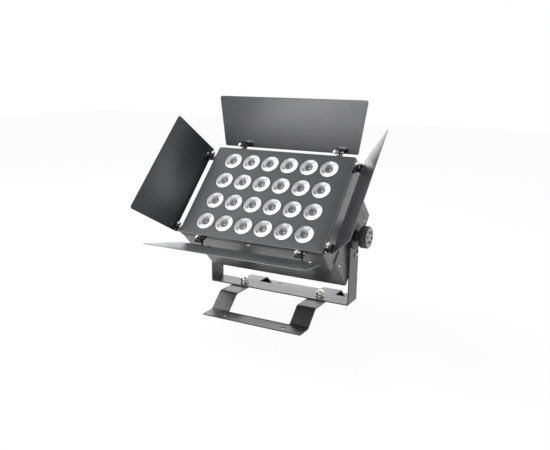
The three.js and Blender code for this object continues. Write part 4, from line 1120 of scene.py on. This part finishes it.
# %% Rear cover
COVER_BACK, PLAY = 176.1, 0.3
FAN_X, FAN_Z, FAN_RADIUS = -115.0, -8.5, 37.0
WINDOW = (-31, 31, 37, 59)
BUTTON_X, BUTTON_Z, BUTTON_RADIUS = (np.arange(4) - 1.5) * 18.0, 20.0, 4.0
LOUVRE_PITCH, LOUVRE_HALF, LOUVRE_END = 6.4, 1.7, 1.6
VENT_X, VENT_Z, VENT_PITCH, VENT_HALF, VENTS = 125.0, 38, 8, 30.0, 8
SOCKET_Z = -66.0
SOCKETS = {"dmx_in": -30.0, "dmx_out": 8.0, "power_in": 62.0, "power_out": 100.0}
FUSE_X, SOCKET_HOLE, FUSE_HOLE = 138.0, 12.3, 7.3


def slots():
    """Level slots. The grille's have half length sqrt(R^2 - z^2), so they fill the fan's circle."""
    rises = np.arange(-5, 6) * LOUVRE_PITCH
    grille = [(FAN_X, FAN_Z + z, sqrt(FAN_RADIUS**2 - z**2)) for z in rises]
    vents = [(VENT_X, VENT_Z + (i - (VENTS - 1) / 2) * VENT_PITCH, VENT_HALF) for i in range(VENTS)]
    return [rectangle(x - half, x + half, z - LOUVRE_HALF, z + LOUVRE_HALF, LOUVRE_END, 4)[::-1]
            for x, z, half in [*grille, *vents]]


def rear_cover():
    """The blank is drawn as the cover's outer face and thickened forwards."""
    outline = rectangle(-HALF_X, HALF_X, REAR_BOTTOM, REAR_TOP, 4)
    holes = slots() + [rectangle(*WINDOW, 1.5)[::-1]]
    holes += [circle(x, BUTTON_Z, BUTTON_RADIUS + PLAY) for x in BUTTON_X]
    holes += [circle(x, SOCKET_Z, SOCKET_HOLE) for x in SOCKETS.values()]
    holes += [circle(FUSE_X, SOCKET_Z, FUSE_HOLE)]
    flat, faces = blank(outline, holes)
    points = stacked("xz", flat[:, 0], flat[:, 1], COVER_BACK)
    outer = [(points, faces[:, ::-1].tolist())]
    sheet_piece("back_cover", "head", casing_coat, on_panel, outer, 1.5, ["rear_cover"], 0.2)
    print("rear cover:", len(holes), "holes")


rear_cover()
edge_spots = [(x, z) for x in (-171, 0, 171) for z in (REAR_BOTTOM + 9, REAR_TOP - 9)]
fan_spots = [(FAN_X + dx, FAN_Z + dz) for dx in (-36, 36) for dz in (-36, 36)]
cover_spots = [((x, COVER_BACK, z), (0, 1, 0)) for x, z in edge_spots + fan_spots]
screws("cover_screws", cover_spots, zinc, "head", on_panel, 3.2, 1.8)

# %% [markdown]
# ## Sockets, fuse and buttons
# A panel socket is a square flange with a round bore. The power sockets have a round core inside. One
# data socket has three pins, the other three contacts in a core. The fuse cap has a ribbed wall.

# %% Sockets
FACE = COVER_BACK + 2.3
SOCKET_BORE, SOCKET_DEPTH, BARREL_RADIUS, CORE_FRONT, BARREL_FRONT = 8.5, 13, 12, 166, 154
PIN_COUNT, PIN_CIRCLE = 3, 3.8
CORES = {"dmx_out": (7.6, 1.2, 7, 0.6), "power_in": (4.6, 3.5, 4, 3), "power_out": (4.6, 3.5, 4, 3)}
PINS = {"dmx_in": ("dmx_in_pins", 1.2, FACE - 4, CORE_FRONT),
        "dmx_out": ("dmx_out_holes", 1.3, FACE - 0.3, 167)}


def flange(x):
    """A rounded square with a round hole: one profile carried from the square's outline to the circle."""
    square = rectangle(x - 13, x + 13, SOCKET_Z - 15.5, SOCKET_Z + 15.5, 4, 15)
    t = np.arctan2(square[:, 1] - SOCKET_Z, square[:, 0] - x)
    ring = lambda r: np.column_stack([x + r * np.cos(t), SOCKET_Z + r * np.sin(t)])
    bore, seat = ring(SOCKET_BORE), COVER_BACK + 0.3
    return carried("xz", [(inset(square, 0.5), FACE), (ring(SOCKET_BORE + 1.2), FACE), (bore, FACE - 0.8),
                          (bore, seat), (square, seat), (square, FACE - 0.5)])


def barrel(x):
    """A cup behind the flange: an outer wall through the cover and a bore with a floor."""
    floor, end = FACE - SOCKET_DEPTH, COVER_BACK + 0.4
    profile = [(0, floor), (SOCKET_BORE, floor), (SOCKET_BORE, end), (BARREL_RADIUS, end),
               (BARREL_RADIUS, BARREL_FRONT), (0, BARREL_FRONT)]
    return moved(turned("y", profile, 48), x, 0, SOCKET_Z)


def core(x, radius, shoulder, tip, sunk):
    """A plug inside the bore, with a chamfered end that lies behind the flange's face."""
    profile = [(0, CORE_FRONT), (radius, CORE_FRONT), (radius, FACE - shoulder), (tip, FACE - sunk),
               (0, FACE - sunk)]
    return moved(turned("y", profile, 40), x, 0, SOCKET_Z)


def pins(x, radius, front, back):
    """Small rods on a circle, with chamfered ends."""
    profile = [(0, back), (radius, back), (radius, front - radius / 2), (radius / 2, front), (0, front)]
    turns = [pi / 2 + i * 2 * pi / PIN_COUNT for i in range(PIN_COUNT)]
    return [moved(turned("y", profile, 16), x + PIN_CIRCLE * cos(a), 0, SOCKET_Z + PIN_CIRCLE * sin(a))
            for a in turns]


def socket(name, x):
    """Flange and barrel for all, a core inside three, contacts in two, and two screws each."""
    shells = [flange(x), barrel(x)]
    if name in CORES:
        shells.append(core(x, *CORES[name]))
    piece(f"{name}_shell", "head", black_plastic, on_panel, shells, [name])
    if name in PINS:
        contacts, *sizes = PINS[name]
        piece(contacts, "head", zinc, on_panel, pins(x, *sizes))
    spots = [((x + dx, FACE, SOCKET_Z + dz), (0, 1, 0)) for dx, dz in ((-9.6, 12.2), (9.6, -12.2))]
    screws(f"{name}_screws", spots, zinc, "head", on_panel, 1.9, 1.0)


for name, x in SOCKETS.items():
    socket(name, x)

# %% Fuse holder, window and buttons
def fuse_holder():
    """Body through the cover and a ribbed cap: r = R - 0.3(1 - cos 24t) on the cap's wall."""
    ribbed = lambda t: 8.5 - 0.3 * (1 - np.cos(24 * t))
    cap = turned("y", [(0, 176.4), (8.5, 176.4), (8.5, 182.8), (7.4, 184.4), (0, 184.4)], 96, ribbed)
    body = turned("y", [(0, 148.1), (7, 148.1), (7, 176.6), (0, 176.6)], 40)
    shells = [moved(part, FUSE_X, 0, SOCKET_Z) for part in (cap, body)]
    piece("fuse_cap", "head", black_plastic, on_panel, shells, ["fuse_holder"])


def window_pane():
    """A pane flush with the cover, and a lip behind it."""
    pane = slab("xz", rectangle(-30.7, 30.7, 37.3, 58.7, 1.3), 173.3, COVER_BACK - 0.1, 0.3)
    lip = slab("xz", rectangle(-34, 34, 34, 62, 1.5), 172.3, 174.3, 0.2)
    piece("window_pane", "head", smoked_window, on_panel, [pane, lip], ["display_window"])


def button(index):
    """Stem, lip behind the cover and cap. The cap's edge is r = R - e(1 - cos t), place = p + e sin t."""
    t = np.linspace(0, pi / 2, 6)
    edge, stem, lip = 0.8, 2, 5.5
    crown = [(BUTTON_RADIUS - edge * (1 - cos(a)), 177.3 + edge * sin(a)) for a in t]
    profile = [(0, 166.8), (stem, 166.8), (stem, 172.8), (lip, 172.8), (lip, 174.3), (BUTTON_RADIUS, 174.3),
               *crown, (0, 178.0)]
    shells = [moved(turned("y", profile, 40), BUTTON_X[index], 0, BUTTON_Z)]
    piece(f"button_cap_{index + 1}", f"button_{index + 1}", knob_plastic, on_panel, shells,
          [f"button_{index + 1}"])


fuse_holder()
window_pane()
for index in range(4):
    button(index)

# %% [markdown]
# ## The fan
# The rotor shows through the grille. A blade is a curved surface: it starts at the hub and twists as
# it goes out, so the angle is largest near the hub. Its thickness fades towards both edges.

# %% Fan rotor
ROTOR_FRONT, ROTOR_BACK, BLADES = 154.8, 171.8, 7
BLADE_ROOT, BLADE_TIP, BLADE_LENGTH, BLADE_HALF = 16, 35.3, 19.3, 8.5
TWIST_ROOT, TWIST_FALL = radians(62), radians(26)


def blade(index):
    """Points at radius s along the blade and w across it: angle a + 1.15 w cos(twist)/s, depth
    0.95 w sin(twist)."""
    s = np.linspace(BLADE_ROOT, BLADE_TIP, 10)[:, None]
    w = np.linspace(-BLADE_HALF, BLADE_HALF, 9)[None, :]
    twist = TWIST_ROOT - TWIST_FALL * (s - BLADE_ROOT) / BLADE_LENGTH
    angle = 2 * pi * index / BLADES + w * np.cos(twist) / s * 1.15
    depth = (ROTOR_FRONT + ROTOR_BACK) / 2 + w * np.sin(twist) * 0.95
    half = 0.75 * np.sqrt(np.clip(1 - (w / 9) ** 2, 0.08, 1)) * np.ones_like(s)

    def side(sign):
        turn = angle + sign * half / s
        return stacked("xz", s * np.cos(turn), s * np.sin(turn), depth)

    return shell(np.concatenate([side(1), side(-1)[:, ::-1]], 1), caps=True)


def fan_rotor():
    """Hub with a rounded edge, shaft and blades."""
    hub = turned("y", [(0, ROTOR_FRONT), (16.2, ROTOR_FRONT), (17, ROTOR_FRONT + 0.8), (17, ROTOR_BACK - 1.5),
                       (15.5, ROTOR_BACK), (0, ROTOR_BACK)], 48)
    shaft = turned("y", [(0, 149.8), (2, 149.8), (2, ROTOR_FRONT + 1), (0, ROTOR_FRONT + 1)], 20)
    shells = [moved(part, FAN_X, 0, FAN_Z) for part in [hub, shaft, *map(blade, range(BLADES))]]
    piece("fan_blades", "fan", fan_plastic, on_panel, shells, ["fan_rotor"], sharp=45)


fan_rotor()

# %% [markdown]
# ## Finishes for the solids that stay
# The inner parts and the pivot bolts keep their solids, because little of them shows. Each gets its own
# finish in place of the plain colour.

# %% Inner finishes
INNER = {
    "led_board": green_board, "control_board": green_board, "heat_sink": raw_aluminium,
    "power_supply": raw_aluminium, "fan_frame": fan_plastic, "pivot_stud_left": zinc,
    "pivot_stud_right": zinc,
}
for node, coat in INNER.items():
    solid = bpy.data.objects[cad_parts[node].name]
    for place in solid.material_slots:
        place.material = coat
print("finished:", sorted(INNER))

# %% [markdown]
# ## Floor, lamps and background
# The set is white. The floor is pale and takes the shadow, but rays that look at it see mostly plain
# white, so the picture stays clean. The key lamp in front only counts in reflections, and the top lamp
# only in diffuse light. Three more stand to the left, behind and to the right. The world fills the rest.

# %% Floor
def seen_rays(tree):
    """1 for rays from the camera, off glossy surfaces and through glass, 0 for diffuse light."""
    rays = tree.nodes.new("ShaderNodeLightPath")
    total = rays.outputs["Is Camera Ray"]
    for name in ("Is Glossy Ray", "Is Transmission Ray"):
        either = tree.nodes.new("ShaderNodeMath")
        either.operation = "MAXIMUM"
        tree.links.new(total, either.inputs[0])
        tree.links.new(rays.outputs[name], either.inputs[1])
        total = either.outputs[0]
    return total


def mix_by_ray(tree, dull, white, output, share=1.0):
    """Mixes two shaders, so that rays that look at the surface get the given share of the white one."""
    factor = tree.nodes.new("ShaderNodeMath")
    factor.operation = "MULTIPLY"
    factor.inputs[1].default_value = share
    mix = tree.nodes.new("ShaderNodeMixShader")
    tree.links.new(seen_rays(tree), factor.inputs[0])
    for source, socket in ((factor, mix.inputs[0]), (dull, mix.inputs[1]), (white, mix.inputs[2]),
                           (mix, tree.nodes[output].inputs[0])):
        tree.links.new(source.outputs[0], socket)


WHITE_SHARE, FLOOR_HALF = 0.96, 6.0


def white_floor():
    """A pale diffuse surface, mixed with plain white for the rays that look at it."""
    material = bpy.data.materials.new("white_floor")
    material.use_nodes = True
    tree = material.node_tree
    shader = tree.nodes["Principled BSDF"]
    shader.inputs["Base Color"].default_value = (0.8, 0.8, 0.8, 1)
    shader.inputs["Roughness"].default_value = 0.9
    mix_by_ray(tree, shader, tree.nodes.new("ShaderNodeEmission"), "Material Output", WHITE_SHARE)
    return material


floor_mesh = bpy.data.meshes.new("floor")
floor_corners = [(x * FLOOR_HALF, y * FLOOR_HALF, 0) for x, y in ((-1, -1), (1, -1), (1, 1), (-1, 1))]
floor_mesh.from_pydata(floor_corners, [], [(0, 1, 2, 3)])
floor_mesh.materials.append(white_floor())
floor = linked("floor", floor_mesh)
floor.location.z = FLOOR_Z / 1000 - 0.0002

# %% World and lamps
WORLD_LIGHT = 0.25


def studio_world():
    """White where the camera looks, and dimmer for the light that reaches the object."""
    world = bpy.data.worlds.new("studio")
    bpy.context.scene.world = world
    world.use_nodes = True
    tree = world.node_tree
    bright = tree.nodes["Background"]
    bright.inputs["Strength"].default_value = 1.0
    bright.inputs["Color"].default_value = (1, 1, 1, 1)
    dim = tree.nodes.new("ShaderNodeBackground")
    dim.inputs["Strength"].default_value = WORLD_LIGHT
    dim.inputs["Color"].default_value = (1, 1, 1, 1)
    mix_by_ray(tree, dim, bright, "World Output")


def lamp(name, place, target, size, power):
    """A square soft lamp that faces a point."""
    data = bpy.data.lights.new(name, "AREA")
    data.shape, data.size, data.energy = "SQUARE", size, power
    thing = linked(name, data)
    way = np.array(place) - np.array(target)
    side = np.cross([0, 0.02, 1], way)
    side /= np.linalg.norm(side)
    back = way / np.linalg.norm(way)
    axes = np.column_stack([side, np.cross(back, side), back])
    thing.matrix_world = Matrix.Translation(place) @ Matrix(axes.tolist()).to_4x4()
    thing.visible_camera = False
    return thing


studio_world()
lamp("key_lamp", (-0.6, -2.1, 0.4), (0, 0, 0.25), 1.5, 46).visible_diffuse = False
lamp("left_lamp", (-1.1, -1.0, 1.75), (0, 0, 0.2), 0.9, 13)
lamp("top_lamp", (-1.3, -0.1, 1.8), (0, 0, 0.2), 1.0, 75).visible_glossy = False
lamp("rear_lamp", (-1.15, 1.75, 0.55), (0, 0, 0.2), 1.2, 7.0)
lamp("right_lamp", (1.9, 0.7, 0.85), (0, 0, 0.2), 1.0, 14)
bpy.context.scene.view_settings.view_transform = "Standard"
